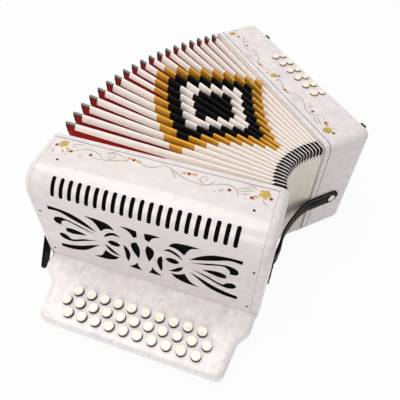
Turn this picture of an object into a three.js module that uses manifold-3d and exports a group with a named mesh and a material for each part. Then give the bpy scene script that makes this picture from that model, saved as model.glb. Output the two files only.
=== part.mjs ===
// A diatonic button accordion in white pearl, lying on its back with its bellows fanned open.
// Lengths are in millimetres and angles in degrees. Z points from the back to the front of the
// instrument, Y from its bottom end to its top end, and X from the treble side to the bass side.
// The origin is the middle of the treble case's back, which the instrument lies on. The pieces
// are drawn from the back of the bottom end, at the seam between treble case and bellows.
import * as THREE from 'three';
import * as BufferGeometryUtils from 'three/addons/utils/BufferGeometryUtils.js';
import Module from 'manifold-3d';

const wasm = await Module();
wasm.setup();

// Driving dimensions of the whole instrument
const length = 312; // from the bottom end to the top end
const depth = 183.4; // from the back to the front face
const endRadius = 12; // rounding of the long edges at both ends
const pieceGap = 0.3; // clearance between pieces that touch
const overrun = 20; // how far a cutting solid passes the face that it opens

// Treble case, a hollow box between two end cheeks
const trebleFrontWidth = 42; // flat part of the front face, from the seam
const trebleBendControl = 76.5; // where the front face and the outer side would meet
const trebleSideDrop = 40.4; // how far below the front face the bend runs into the outer side
const trebleSideTopWidth = 78.5; // distance of the outer side from the seam at that height
const trebleWidth = 84.3; // distance of the outer side from the seam at the cover's lower edge
const coverEdgeHeight = 34.4; // height of the cover's lower edge
const backCornerRadius = 14; // rounding of the outer back edge
const cheekThickness = 12;
const backThickness = 8;
const sideWallThickness = 5;
const rabbetDepth = 4.3; // how deep the fingerboard is let into the side of the case
const soundboardThickness = 6;
const trebleSoundboardInset = 4; // from the seam to the soundboard
const soundboardSlotHeight = 12;
const soundboardSlotMargin = 50;
const bendSteps = 6;
const endSteps = 3;

// Grille cover, a bent plate with vents along the bend and pierced leaves on its side
const coverThickness = 1.8;
const coverSeamInset = 0.6;
const ventCount = 21;
const ventMargin = 42.6; // middle of the first and last vent, from the ends
const ventWidth = 4.6;
const ventUpperWidth = 60.3; // upper tip of a vent, from the seam
const ventUpperDrop = 4.4; // the same tip, below the front face
const ventLowerWidth = 74.7; // lower tip of a vent, from the seam
const ventLowerDrop = 21.8; // the same tip, below the front face
const ventEndSteps = 3;
const leafMargin = 31; // the pierced pattern's sides, from the ends
const leafHeightShare = 0.7735; // height of the pattern, as a share of the cover's side
const leafMiddleShare = 0.604; // height of its middle, as a share of the cover's side
const leafAspectShare = 1.488; // half width of the pattern over its height, as the shares were drawn
const leafSteps = 5;
const hookShare = 0.0619; // radius of a stem's round end, as a share of the pattern's height
const hookSteps = 10;

// Pierced leaves of one half of the pattern, as shares of its half width and of its height.
// Each leaf has two tips, the rise of its two edges above the line that joins the tips, and
// the width at which its outer tip is cut off.
const leafShares = [
  { tips: [1, 0.48, 0.49, 0.18], rises: [0.11, 0.012], blunt: 0.075 },
  { tips: [1, -0.46, 0.49, -0.13], rises: [-0.105, -0.01], blunt: 0.075 },
  { tips: [0.89, 0.27, 0.5, 0.105], rises: [0.035, 0], blunt: 0.045 },
  { tips: [0.89, -0.25, 0.5, -0.035], rises: [-0.035, 0], blunt: 0.045 },
  { tips: [0.85, 0.02, 0.6, 0.03], rises: [0.06, -0.06], blunt: 0.06 },
  { tips: [0.425, 0.105, 0.225, 0.225], rises: [0.15, 0.085], blunt: 0.02 },
  { tips: [0.42, -0.06, 0.26, -0.235], rises: [-0.105, -0.045], blunt: 0.03 },
  { tips: [0.385, 0.025, 0.245, 0.025], rises: [0.06, -0.06], blunt: 0.05 },
  { tips: [0.2, 0.49, 0.045, 0.34], rises: [0.1, -0.04], blunt: 0.03 },
  { tips: [0.075, 0.24, 0.05, -0.19], rises: [0.075, -0.035], blunt: 0.06 },
  { tips: [0.19, 0.05, 0.17, -0.31], rises: [0.03, -0.045], blunt: 0.02 },
];
// Three-cornered openings: their corners, and how far each side is hollow (or full, below zero).
const cornerShares = [
  { corners: [0.6, 0.5, 0.28, 0.36, 0.445, 0.25], sags: [-0.05, 0.045, 0.06] },
  { corners: [0.6, -0.49, 0.28, -0.32, 0.445, -0.23], sags: [-0.035, 0.045, 0.06] },
  { corners: [0.175, -0.49, 0.04, -0.49, 0.095, -0.33], sags: [0.01, 0.035, 0.035] },
];
// Round ends of the hooked stems.
const hookShares = [
  { at: [0.9, 0.2] },
  { at: [0.9, -0.19] },
];

// Cloth behind the grille
const clothThickness = 0.6;

// Fingerboard, a hollow shelf that carries the treble buttons
const boardTop = 33;
const boardThickness = 24;
const boardReach = 175; // outer edge of the fingerboard, from the seam
const boardEdgeRadius = 7;
const boardEdgeSteps = 3;
const boardNeckBottom = 3.4; // outline at the case, from the bottom end
const boardTipBottom = 21; // outline at the outer edge, from the bottom end
const boardNeckTop = 8; // outline at the case, from the top end
const boardTipTop = 38; // outline at the outer edge, from the top end
const boardCurveStart = 97; // where the curved ends begin, from the seam
const boardCurveEnd = 133; // where the curved ends run out, from the seam
const boardCornerRadius = 11;
const boardPlate = 4.2; // thickness of the plate that the buttons pass through
const boardFloor = 4;
const boardWall = 7;
const boardCurveSteps = 6;
const boardCornerSteps = 4;
const shoulderShare = 0.22; // how much of the ends' taper is left where the curves run out
const leverSlotMargin = 44; // from each end to the opening for the levers

// Treble buttons in three rows, the middle one longer by a button
const innerRowCount = 10;
const middleRowCount = 11;
const outerRowCount = 10;
const buttonRadius = 6.5;
const buttonTopRadius = 5.4;
const buttonTopBevel = 1.1;
const buttonHeight = 6; // above the fingerboard
const buttonFlangeRadius = 7.4;
const buttonFlangeHeight = 2.5;
const boreClearance = 0.4;
const rowPitch = 15.5;
const innerRowReach = 128.2; // inner row of buttons, from the seam
const rowBottomMargin = 29.765; // first button of the middle row, from the board's bottom tip
const rowTopMargin = 29.535; // last button of the middle row, from the board's top tip
const rowSlip = 0.95; // each further row lies this much nearer the bottom end
const roundSides = 12;

// Treble reed block
const reedBaseThickness = 5;
const reedBlockHeight = 30;
const reedBlockThickness = 17;
const reedBlockPitch = 36;
const reedBlockMargin = 48; // from the ends to the base plates
const trebleReedRows = 3;
const bassReedRows = 2;

// Bellows frames
const frameWidth = 7;
const frameWall = 12;

// Bellows, a pleated tube that fans open about an upright line close to its bottom end
const foldCount = 19;
const closedThickness = 94; // the closed pleats between the two frames
const fanAngle = 46.4;
const fanPivotX = 59.7;
const fanPivotY = -2.3; // just past the bottom end
const bellowsInset = 2; // the ridges lie this far inside the frames' outline
const openFoldDraw = 4; // how far the widest fold draws its front and back edges in
const pleatDepth = 24;
const pleatWall = 1.9;
const ridgeHalfWidth = 1.35;
const ridgeCornerRadius = 5;
const firstFoldShare = 1.45; // the fold beside the treble frame stands open wider
const lastFoldShare = 0.5; // the fold beside the bass frame stands open less
const cornerSteps = 2;

// Bass case
const bassWidth = 66;
const bassWall = 6;
const bassFrontRadius = 12.5;
const bassBackRadius = 12.5;
const bassSoundboardInset = 8;
const bassCornerSteps = 3;

// Bass buttons in two rows of six, and the air button
const bassButtonRadius = 5;
const bassButtonTopRadius = 4.1;
const bassButtonBevel = 0.9;
const bassButtonHeight = 3.6;
const bassFlangeRadius = 6;
const bassFlangeHeight = 2.5;
const bassButtonPitch = 20.44;
const bassButtonCount = 6;
const bassRowInset = 26; // inner row of bass buttons, from the outer face
const bassRowPitch = 11.6;
const bassRowDrop = 6.5; // how far the middle of the rows lies below the middle of the case
const bassRowSlip = 2;
const airButtonRadius = 7;
const airButtonTopRadius = 6;
const airButtonBevel = 1;
const airButtonHeight = 6;
const airFlangeRadius = 8;
const airFlangeHeight = 2.5;
const airButtonMargin = 86; // from the top end
const airButtonZ = 24;

// Hand strap over the outer face of the bass case
const strapThickness = 2.6;
const handStrapWidth = 62;
const handStrapMiddle = 88; // height of its middle above the back
const handStrapStart = 34; // from the bottom end
const handStrapEndMargin = 54; // from the top end
const handStrapRise = 34;
const handStrapTab = 16; // flat part at each end
const strapSteps = 14;
const strapCurveShare = 1.25; // how gently the hand strap leaves the face

// Rubber foot rails on the outer face of the bass case
const railHeight = 8;
const railWidth = 12;
const railTopWidth = 8;
const railStart = 10; // from the back
const railFrontMargin = 9.4; // from the front face
const bottomRailMargin = 18; // from the bottom end
const topRailMargin = 43; // from the top end

// Bellows straps
const bellowsStrapWidth = 18;
const bottomStrapHeight = 70; // height of its middle above the back
const bottomStrapTrebleEnd = 58; // its end on the treble case, from the seam
const bottomStrapFold = 15; // length of the end that is folded under and screwed to the case
const bottomStrapLift = 4; // how far the folded end holds it off the case
const bottomStrapBend = 12; // where it starts to bend, from the seam
const bottomStrapBassTab = 6; // where it comes to the bass frame, from the seam
const snapReachShare = 0.44; // place of the snap, as a share of the bass case's width
const bottomStrapTip = 12; // length of the strap beyond the snap
const strapReachShare = 0.25; // how far the strap runs straight on at both ends of its bend
const snapHoleRadius = 3;
const snapPostRadius = 2.6;
const snapCapRadius = 5.2;
const snapCapHeight = 2.2;
const topStrapPivotX = -12;
const topStrapPivotZ = 125;
const topStrapTipX = -93;
const topStrapTipGap = 0.3; // the hanging tip clears what the instrument lies on by this much

const radian = Math.PI / 180;
const half = 0.5;
const quarterTurn = 90;

// Sizes that follow from the driving dimensions
const trebleSideTop = depth - trebleSideDrop;
const coverSideHeight = trebleSideTop - coverEdgeHeight;
const leafHalfWidth = length * half - leafMargin;
const leafHeight = coverSideHeight * leafHeightShare;
const middleRowLength = length - boardTipBottom - boardTipTop - rowBottomMargin - rowTopMargin;
const buttonPitch = middleRowLength / (middleRowCount - 1);
const bottomStrapSnap = bassWidth * snapReachShare;

// Materials
function finish(colour, roughness, metalness) {
  return new THREE.MeshStandardMaterial({ color: colour, roughness, metalness });
}
const pearl = finish(0xebe6e8, 0.25, 0);
const creamPearl = finish(0xf6f0dc, 0.22, 0);
const wood = finish(0xb58a58, 0.6, 0);
const blackCloth = finish(0x121212, 0.95, 0);
const bellowsCard = finish(0xf1ece6, 0.6, 0);
const leather = finish(0x15130f, 0.5, 0);
const rubber = finish(0x191919, 0.85, 0);
const nickel = finish(0xd9dade, 0.2, 1);
const brass = finish(0xa98a4a, 0.35, 1);

// Solids
function solidOf(geometry) {
  const bare = geometry.clone();
  for (const name of Object.keys(bare.attributes)) {
    if (name !== 'position') bare.deleteAttribute(name);
  }
  const merged = BufferGeometryUtils.mergeVertices(bare);
  const mesh = new wasm.Mesh({
    numProp: 3,
    vertProperties: new Float32Array(merged.attributes.position.array),
    triVerts: new Uint32Array(merged.index.array),
  });
  return new wasm.Manifold(mesh);
}

function geometryOf(solid) {
  const mesh = solid.getMesh();
  const geometry = new THREE.BufferGeometry();
  geometry.setAttribute('position', new THREE.BufferAttribute(new Float32Array(mesh.vertProperties), 3));
  geometry.setIndex(new THREE.BufferAttribute(new Uint32Array(mesh.triVerts), 1));
  geometry.computeVertexNormals();
  return geometry;
}

function cut(solid, ...tools) {
  return tools.reduce((left, tool) => left.subtract(tool), solid);
}

function join(...solids) {
  return solids.reduce((whole, solid) => whole.add(solid));
}

function piece(name, geometry, material) {
  const mesh = new THREE.Mesh(geometry, material);
  mesh.name = name;
  return mesh;
}

function block(from, to) {
  const size = to.map((value, i) => value - from[i]);
  const geometry = new THREE.BoxGeometry(...size);
  geometry.translate(...from.map((value, i) => value + size[i] * half));
  return solidOf(geometry);
}

// An outline in X and Z, run along Y.
function alongY(outline, start, end, settings = {}) {
  const shape = new THREE.Shape(outline);
  const edge = settings.bevelThickness ?? 0;
  const options = { depth: end - start - edge - edge, bevelEnabled: false, steps: 1, ...settings };
  const geometry = new THREE.ExtrudeGeometry(shape, options);
  geometry.rotateX(Math.PI * half);
  geometry.translate(0, end - edge, 0);
  return geometry;
}

// An outline in Y and Z, run along X.
function alongX(shape, start, end) {
  const geometry = new THREE.ExtrudeGeometry(shape, { depth: end - start, bevelEnabled: false, steps: 1 });
  const turn = new THREE.Matrix4().makeBasis(
    new THREE.Vector3(0, 1, 0),
    new THREE.Vector3(0, 0, 1),
    new THREE.Vector3(1, 0, 0),
  );
  geometry.applyMatrix4(turn);
  geometry.translate(start, 0, 0);
  return geometry;
}

// An outline in X and Y, run along Z.
function alongZ(outline, start, end) {
  const shape = new THREE.Shape(outline);
  const geometry = new THREE.ExtrudeGeometry(shape, { depth: end - start, bevelEnabled: false, steps: 1 });
  geometry.translate(0, 0, start);
  return geometry;
}

function roundedEnds() {
  return {
    bevelEnabled: true,
    bevelThickness: endRadius,
    bevelSize: endRadius,
    bevelOffset: -endRadius,
    bevelSegments: endSteps,
  };
}

function point(x, y) {
  return new THREE.Vector2(x, y);
}

// Points of an arc about a centre, between two angles in degrees.
function arc(centreX, centreY, radius, from, to, steps) {
  const points = [];
  for (let i = 0; i <= steps; i += 1) {
    const angle = (from + ((to - from) * i) / steps) * radian;
    points.push(point(centreX + radius * Math.cos(angle), centreY + radius * Math.sin(angle)));
  }
  return points;
}

// Two lines at the given distances to the left of a centre line, closed into one outline.
function band(line, near, far) {
  const normals = line.map((here, i) => {
    const before = line[Math.max(i - 1, 0)];
    const after = line[Math.min(i + 1, line.length - 1)];
    const along = after.clone().sub(before).normalize();
    return point(-along.y, along.x);
  });
  const left = line.map((here, i) => here.clone().addScaledVector(normals[i], far));
  const right = line.map((here, i) => here.clone().addScaledVector(normals[i], near));
  return [...right, ...left.reverse()];
}

// Outer surface of the treble side, from the front seam round the bend to the cover's lower edge
function coverLine(frontEnd) {
  const bend = new THREE.QuadraticBezierCurve(
    point(-trebleFrontWidth, depth),
    point(-trebleBendControl, depth),
    point(-trebleSideTopWidth, trebleSideTop),
  );
  return [point(frontEnd, depth), ...bend.getPoints(bendSteps), point(-trebleWidth, coverEdgeHeight)];
}

function makeTrebleCase() {
  const radius = backCornerRadius;
  const corner = arc(-trebleWidth + radius, radius, radius, quarterTurn * 2, quarterTurn * 3, endSteps);
  const outline = [...coverLine(endRadius + overrun), ...corner, point(endRadius + overrun, 0)];
  const body = solidOf(alongY(outline, 0, length, roundedEnds()));
  const seam = block(
    [-pieceGap * half, -overrun, -overrun],
    [endRadius + overrun * 2, length + overrun, depth + overrun],
  );
  const inside = -trebleWidth + rabbetDepth + sideWallThickness;
  const top = coverEdgeHeight - pieceGap;
  const hollow = [
    point(inside, backThickness),
    point(overrun, backThickness),
    point(overrun, depth + overrun),
    point(-trebleWidth - overrun, depth + overrun),
    point(-trebleWidth - overrun, top),
    point(inside, top),
  ];
  const room = solidOf(alongY(hollow, cheekThickness, length - cheekThickness));
  const rabbetFace = -trebleWidth + rabbetDepth;
  const rabbet = block(
    [-trebleWidth - overrun, boardNeckBottom - pieceGap, -overrun],
    [rabbetFace, length - boardNeckTop + pieceGap, boardTop + pieceGap],
  );
  const slot = block(
    [rabbetFace - overrun, leverSlotMargin, boardTop - boardThickness + boardFloor],
    [inside + overrun, length - leverSlotMargin, boardTop - boardPlate],
  );
  const right = -trebleSoundboardInset;
  const left = right - soundboardThickness;
  const board = block(
    [left, cheekThickness * half, backThickness * half],
    [right, length - cheekThickness * half, depth - coverThickness - pieceGap],
  );
  const slots = reedRows(trebleReedRows).map((z) =>
    block(
      [left - overrun, soundboardSlotMargin, z - soundboardSlotHeight * half],
      [right + overrun, length - soundboardSlotMargin, z + soundboardSlotHeight * half],
    ),
  );
  const shell = cut(body, seam, room, rabbet, slot);
  const trimmedBoard = board.intersect(cut(body, seam));
  return piece('treble_case', geometryOf(join(shell, cut(trimmedBoard, ...slots))), pearl);
}

// Heights of the reed blocks, spread about the middle of the depth
function reedRows(count) {
  const middle = (count - 1) * half;
  return Array.from({ length: count }, (_, i) => depth * half + (i - middle) * reedBlockPitch);
}

// A base plate with its blocks standing on it, towards growing X
function makeReedBlock(name, rows, baseFace, direction) {
  const reach = (value) => baseFace + direction * value;
  const spanX = (from, to) => [Math.min(reach(from), reach(to)), Math.max(reach(from), reach(to))];
  const [baseFrom, baseTo] = spanX(0, reedBaseThickness);
  const heights = reedRows(rows);
  const margin = reedBlockMargin;
  const lowest = heights[0] - reedBlockThickness;
  const highest = heights[rows - 1] + reedBlockThickness;
  const base = block([baseFrom, margin, lowest], [baseTo, length - margin, highest]);
  const [blockFrom, blockTo] = spanX(0, reedBaseThickness + reedBlockHeight);
  const blocks = heights.map((z) =>
    block(
      [blockFrom, margin + reedBlockThickness, z - reedBlockThickness * half],
      [blockTo, length - margin - reedBlockThickness, z + reedBlockThickness * half],
    ),
  );
  return piece(name, geometryOf(join(base, ...blocks)), wood);
}

// Grille cover
function sidePoint(acrossShare, upShare) {
  return point(acrossShare * leafAspectShare, upShare);
}

function leafShape(leaf) {
  const [startX, startY, endX, endY] = leaf.tips;
  const start = sidePoint(startX, startY);
  const end = sidePoint(endX, endY);
  const along = end.clone().sub(start).normalize();
  const up = point(along.y, -along.x);
  const middle = start.clone().add(end).multiplyScalar(half);
  const edges = leaf.rises.map((rise) => middle.clone().addScaledVector(up, rise * 2));
  const side = Math.sign(leaf.rises[0] - leaf.rises[1]);
  const upper = start.clone().addScaledVector(up, side * leaf.blunt * half);
  const lower = start.clone().addScaledVector(up, -side * leaf.blunt * half);
  const there = new THREE.QuadraticBezierCurve(upper, edges[0], end).getPoints(leafSteps);
  const back = new THREE.QuadraticBezierCurve(end, edges[1], lower).getPoints(leafSteps);
  return [...there.slice(0, -1), ...back];
}

function cornerShape(opening) {
  const [aX, aY, bX, bY, cX, cY] = opening.corners;
  const corners = [sidePoint(aX, aY), sidePoint(bX, bY), sidePoint(cX, cY)];
  const centre = corners[0].clone().add(corners[1]).add(corners[2]).divideScalar(corners.length);
  const points = [];
  corners.forEach((corner, i) => {
    const next = corners[(i + 1) % corners.length];
    const middle = corner.clone().add(next).multiplyScalar(half);
    const inward = centre.clone().sub(middle).normalize();
    const control = middle.addScaledVector(inward, opening.sags[i] * 2);
    points.push(...new THREE.QuadraticBezierCurve(corner, control, next).getPoints(leafSteps).slice(0, -1));
  });
  return points;
}

function hookShape(hook) {
  const centre = sidePoint(...hook.at);
  return arc(centre.x, centre.y, hookShare, 0, quarterTurn * 4, hookSteps).slice(0, -1);
}

// The same outline on both halves of the pattern, at its real size and counted the same way round
function mirrored(outline) {
  const middle = length * half;
  const across = leafHalfWidth / leafAspectShare;
  const height = coverEdgeHeight + coverSideHeight * leafMiddleShare;
  return [1, -1].map((side) => {
    const placed = outline.map((p) => point(middle + side * across * p.x, height + leafHeight * p.y));
    return THREE.ShapeUtils.isClockWise(placed) ? placed.reverse() : placed;
  });
}

function leafTools() {
  const outlines = [
    ...leafShares.map(leafShape),
    ...cornerShares.map(cornerShape),
    ...hookShares.map(hookShape),
  ].flatMap(mirrored);
  return outlines.map((outline) =>
    solidOf(alongX(new THREE.Shape(outline), -trebleWidth - overrun, -trebleFrontWidth)),
  );
}

function ventTools() {
  const upper = new THREE.Vector3(-ventUpperWidth, 0, depth - ventUpperDrop);
  const lower = new THREE.Vector3(-ventLowerWidth, 0, depth - ventLowerDrop);
  const along = upper.clone().sub(lower);
  const reach = along.length() * half - ventWidth * half;
  const radius = ventWidth * half;
  const outline = [
    ...arc(reach, 0, radius, -quarterTurn, quarterTurn, ventEndSteps),
    ...arc(-reach, 0, radius, quarterTurn, quarterTurn * 3, ventEndSteps),
  ];
  const slope = along.clone().normalize();
  const across = new THREE.Vector3(0, 1, 0);
  const outward = new THREE.Vector3().crossVectors(slope, across);
  const turn = new THREE.Matrix4().makeBasis(slope, across, outward);
  const centre = upper.clone().add(lower).multiplyScalar(half);
  const pitch = (length - ventMargin * 2) / (ventCount - 1);
  const tools = [];
  for (let i = 0; i < ventCount; i += 1) {
    const geometry = alongZ(outline, -overrun * half, overrun * half);
    geometry.applyMatrix4(turn);
    geometry.translate(centre.x, ventMargin + i * pitch, centre.z);
    tools.push(solidOf(geometry));
  }
  return tools;
}

function makeGrilleCover() {
  const outline = band(coverLine(-coverSeamInset), 0, coverThickness);
  const plate = solidOf(alongY(outline, cheekThickness + pieceGap, length - cheekThickness - pieceGap));
  return piece('grille_cover', geometryOf(cut(plate, ...ventTools(), ...leafTools())), pearl);
}

function makeGrilleCloth() {
  const line = coverLine(-trebleFrontWidth).slice(1);
  const near = coverThickness + pieceGap;
  const outline = band(line, near, near + clothThickness);
  const margin = cheekThickness + pieceGap;
  return piece('grille_cloth', alongY(outline, margin, length - margin), blackCloth);
}

// Fingerboard
function boardOutline() {
  const inner = -trebleWidth + rabbetDepth + endRadius;
  const outer = -boardReach;
  const curveEnd = (from, to) => {
    const middle = (from.x + to.x) * half;
    return new THREE.CubicBezierCurve(from, point(middle, from.y), point(middle, to.y), to);
  };
  const tipBottom = boardTipBottom;
  const tipTop = length - boardTipTop;
  const shoulder = (tip, neck) => tip + (neck - tip) * shoulderShare;
  const bottomStart = point(-boardCurveStart, boardNeckBottom);
  const bottomEnd = point(-boardCurveEnd, shoulder(tipBottom, boardNeckBottom));
  const topStart = point(-boardCurveEnd, shoulder(tipTop, length - boardNeckTop));
  const topEnd = point(-boardCurveStart, length - boardNeckTop);
  const radius = boardCornerRadius;
  return [
    point(inner, boardNeckBottom),
    ...curveEnd(bottomStart, bottomEnd).getPoints(boardCurveSteps),
    ...arc(outer + radius, tipBottom + radius, radius, quarterTurn * 3, quarterTurn * 2, boardCornerSteps),
    ...arc(outer + radius, tipTop - radius, radius, quarterTurn * 2, quarterTurn, boardCornerSteps),
    ...curveEnd(topStart, topEnd).getPoints(boardCurveSteps),
    point(inner, length - boardNeckTop),
  ].reverse();
}

function roundBore(radius, x, y, from, to) {
  const geometry = new THREE.CylinderGeometry(radius, radius, to - from, roundSides);
  geometry.rotateX(Math.PI * half);
  geometry.translate(x, y, (from + to) * half);
  return solidOf(geometry);
}

// Places of the treble buttons: row name, number in the row, X and Y
function treblePlaces() {
  const first = boardTipBottom + rowBottomMargin;
  const rows = [
    { row: 'inner', count: innerRowCount, start: half },
    { row: 'middle', count: middleRowCount, start: 0 },
    { row: 'outer', count: outerRowCount, start: half },
  ];
  return rows.flatMap(({ row, count, start }, i) =>
    Array.from({ length: count }, (_, k) => ({
      row,
      number: k + 1,
      x: -innerRowReach - i * rowPitch,
      y: first + (start + k) * buttonPitch + (1 - i) * rowSlip,
    })),
  );
}

function makeFingerboard() {
  const shape = new THREE.Shape(boardOutline());
  const bottom = boardTop - boardThickness;
  const geometry = new THREE.ExtrudeGeometry(shape, {
    depth: boardThickness - boardEdgeRadius * 2,
    bevelEnabled: true,
    bevelThickness: boardEdgeRadius,
    bevelSize: boardEdgeRadius,
    bevelOffset: -boardEdgeRadius,
    bevelSegments: boardEdgeSteps,
    steps: 1,
  });
  geometry.translate(0, 0, bottom + boardEdgeRadius);
  const seat = -trebleWidth + rabbetDepth - pieceGap;
  const beyond = block([seat, -overrun, -overrun], [overrun, length + overrun, depth]);
  const room = block(
    [-boardReach + boardWall, boardTipBottom + boardWall, bottom + boardFloor],
    [seat + overrun, length - boardTipTop - boardWall, boardTop - boardPlate],
  );
  const bores = treblePlaces().map(({ x, y }) =>
    roundBore(buttonRadius + boreClearance, x, y, boardTop - boardPlate - boardFloor, boardTop + overrun),
  );
  return piece('fingerboard', geometryOf(cut(solidOf(geometry), beyond, room, ...bores)), pearl);
}

// A button with a flange below the plate that it slides in, its axis along Z and its foot at zero
function buttonGeometry(sizes) {
  const profile = [
    point(0, 0),
    point(sizes.flangeRadius, 0),
    point(sizes.radius, sizes.flangeHeight),
    point(sizes.radius, sizes.tall - sizes.bevel),
    point(sizes.topRadius, sizes.tall),
    point(0, sizes.tall),
  ];
  const geometry = new THREE.LatheGeometry(profile, roundSides);
  geometry.rotateX(Math.PI * half);
  return geometryOf(solidOf(geometry));
}

// The flange's widening part stops against the plate's lower edge, one gap below it at rest
function flangeDrop(sizes) {
  const slope = sizes.flangeHeight / (sizes.flangeRadius - sizes.radius);
  return (sizes.flangeRadius - sizes.radius - boreClearance) * slope + pieceGap;
}

function buttonSizes(radius, topRadius, bevel, flangeRadius, flangeHeight, plate, height) {
  const sizes = { radius, topRadius, bevel, flangeRadius, flangeHeight };
  sizes.foot = plate + flangeDrop(sizes);
  sizes.tall = sizes.foot + height;
  return sizes;
}

function makeTrebleButtons() {
  const sizes = buttonSizes(
    buttonRadius, buttonTopRadius, buttonTopBevel,
    buttonFlangeRadius, buttonFlangeHeight, boardPlate, buttonHeight,
  );
  return treblePlaces().map(({ row, number, x, y }) => {
    const button = piece(`treble_button_${row}_${number}`, buttonGeometry(sizes), creamPearl);
    button.position.set(x, y, boardTop - sizes.foot);
    return button;
  });
}

// Bellows
function frameOutline(inset, radius) {
  const low = inset + radius;
  const right = length - inset - radius;
  const top = depth - inset - radius;
  return [
    ...arc(right, low, radius, -quarterTurn, 0, cornerSteps),
    ...arc(right, top, radius, 0, quarterTurn, cornerSteps),
    ...arc(low, top, radius, quarterTurn, quarterTurn * 2, cornerSteps),
    ...arc(low, low, radius, quarterTurn * 2, quarterTurn * 3, cornerSteps),
  ];
}

function makeFrame(name, start, end) {
  const shape = new THREE.Shape(frameOutline(0, endRadius));
  shape.holes.push(new THREE.Path(frameOutline(frameWall, endRadius * half).reverse()));
  return piece(name, geometryOf(solidOf(alongX(shape, start, end))), pearl);
}

// How far each gap between ridges stands open, as a share of the fan, added up from the treble side
function foldShares() {
  const gaps = [];
  for (let i = 0; i <= foldCount; i += 1) gaps.push(1 + ((lastFoldShare - 1) * i) / foldCount);
  gaps[0] *= firstFoldShare;
  const total = gaps.reduce((sum, gap) => sum + gap, 0);
  const shares = [0];
  gaps.forEach((gap) => shares.push(shares[shares.length - 1] + gap / total));
  return shares;
}

// One ring of the pleated tube: it lies at x in the closed bellows and is turned with the fan
function bellowsRing(x, inset, share) {
  const angle = -fanAngle * share * radian;
  const middle = depth * half;
  return frameOutline(inset, ridgeCornerRadius).map((p) => {
    const drawn = openFoldDraw * (1 - share) * (p.x / length);
    const placed = point(x, p.x).rotateAround(point(fanPivotX, fanPivotY), angle);
    return new THREE.Vector3(placed.x, placed.y, p.y + drawn * ((middle - p.y) / middle));
  });
}

function makeBellows() {
  const start = frameWidth + pieceGap;
  const span = closedThickness - pieceGap * 2;
  const pitch = span / (foldCount + 1);
  const shares = foldShares();
  const outer = [bellowsRing(start, bellowsInset, 0)];
  const inner = [bellowsRing(start, bellowsInset + pleatWall * 2, 0)];
  for (let i = 0; i <= foldCount; i += 1) {
    const valley = (shares[i] + shares[i + 1]) * half;
    const x = start + (i + half) * pitch;
    outer.push(bellowsRing(x, bellowsInset + pleatDepth, valley));
    inner.push(bellowsRing(x, bellowsInset + pleatDepth + pleatWall, valley));
    const ridge = start + (i + 1) * pitch;
    if (i < foldCount) {
      outer.push(bellowsRing(ridge - ridgeHalfWidth, bellowsInset, shares[i + 1]));
      outer.push(bellowsRing(ridge + ridgeHalfWidth, bellowsInset, shares[i + 1]));
      inner.push(bellowsRing(ridge, bellowsInset + pleatWall, shares[i + 1]));
    }
  }
  outer.push(bellowsRing(start + span, bellowsInset, 1));
  inner.push(bellowsRing(start + span, bellowsInset + pleatWall * 2, 1));
  return piece('bellows', ringTube([...outer, ...inner.reverse()]), bellowsCard);
}

// A closed surface through rings of equal point counts, the last ring joined to the first
function ringTube(rings) {
  const count = rings[0].length;
  const positions = rings.flat().flatMap((p) => [p.x, p.y, p.z]);
  const index = [];
  rings.forEach((ring, i) => {
    const here = i * count;
    const there = ((i + 1) % rings.length) * count;
    for (let k = 0; k < count; k += 1) {
      const next = (k + 1) % count;
      index.push(here + k, here + next, there + k, here + next, there + next, there + k);
    }
  });
  const geometry = new THREE.BufferGeometry();
  geometry.setAttribute('position', new THREE.Float32BufferAttribute(positions, 3));
  geometry.setIndex(index);
  geometry.computeVertexNormals();
  return geometry;
}

// Bass side, drawn in a frame of its own: X from the seam outward, Y from the bottom end
function bassCorner() {
  const closedSeam = frameWidth * 2 + closedThickness;
  return point(closedSeam, 0).rotateAround(point(fanPivotX, fanPivotY), -fanAngle * radian);
}

function makeBassCase() {
  const backRadius = bassBackRadius;
  const frontRadius = bassFrontRadius;
  const outline = [
    point(-endRadius - overrun, 0),
    ...arc(bassWidth - backRadius, backRadius, backRadius, -quarterTurn, 0, bassCornerSteps),
    ...arc(bassWidth - frontRadius, depth - frontRadius, frontRadius, 0, quarterTurn, bassCornerSteps),
    point(-endRadius - overrun, depth),
  ];
  const body = solidOf(alongY(outline, 0, length, roundedEnds()));
  const seam = block(
    [-endRadius - overrun * 2, -overrun, -overrun],
    [pieceGap * half, length + overrun, depth + overrun],
  );
  const shell = cut(body, seam);
  const end = cheekThickness;
  const inner = bassWidth - bassWall;
  const mouth = block([-overrun, end, bassWall], [bassSoundboardInset, length - end, depth - bassWall]);
  const roomStart = bassSoundboardInset + soundboardThickness;
  const room = block([roomStart, end, bassWall], [inner, length - end, depth - bassWall]);
  const slots = reedRows(bassReedRows).map((z) =>
    block(
      [0, soundboardSlotMargin, z - soundboardSlotHeight * half],
      [roomStart + overrun, length - soundboardSlotMargin, z + soundboardSlotHeight * half],
    ),
  );
  const bores = bassPlaces().map(({ x, y }) =>
    roundBore(bassButtonRadius + boreClearance, x, y, depth - overrun, depth + overrun),
  );
  const airBore = new THREE.CylinderGeometry(
    airButtonRadius + boreClearance, airButtonRadius + boreClearance, overrun * 2, roundSides,
  );
  airBore.rotateZ(Math.PI * half);
  airBore.translate(bassWidth, length - airButtonMargin, airButtonZ);
  const solid = cut(shell, mouth, room, ...slots, ...bores, solidOf(airBore));
  return piece('bass_case', geometryOf(solid), pearl);
}

function bassPlaces() {
  const rows = ['inner', 'outer'];
  const middle = length * half - bassRowDrop;
  return rows.flatMap((row, i) =>
    Array.from({ length: bassButtonCount }, (_, k) => ({
      row,
      number: k + 1,
      x: bassWidth - bassRowInset + i * bassRowPitch,
      y: middle + (k - (bassButtonCount - 1) * half) * bassButtonPitch - i * bassRowSlip,
    })),
  );
}

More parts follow.
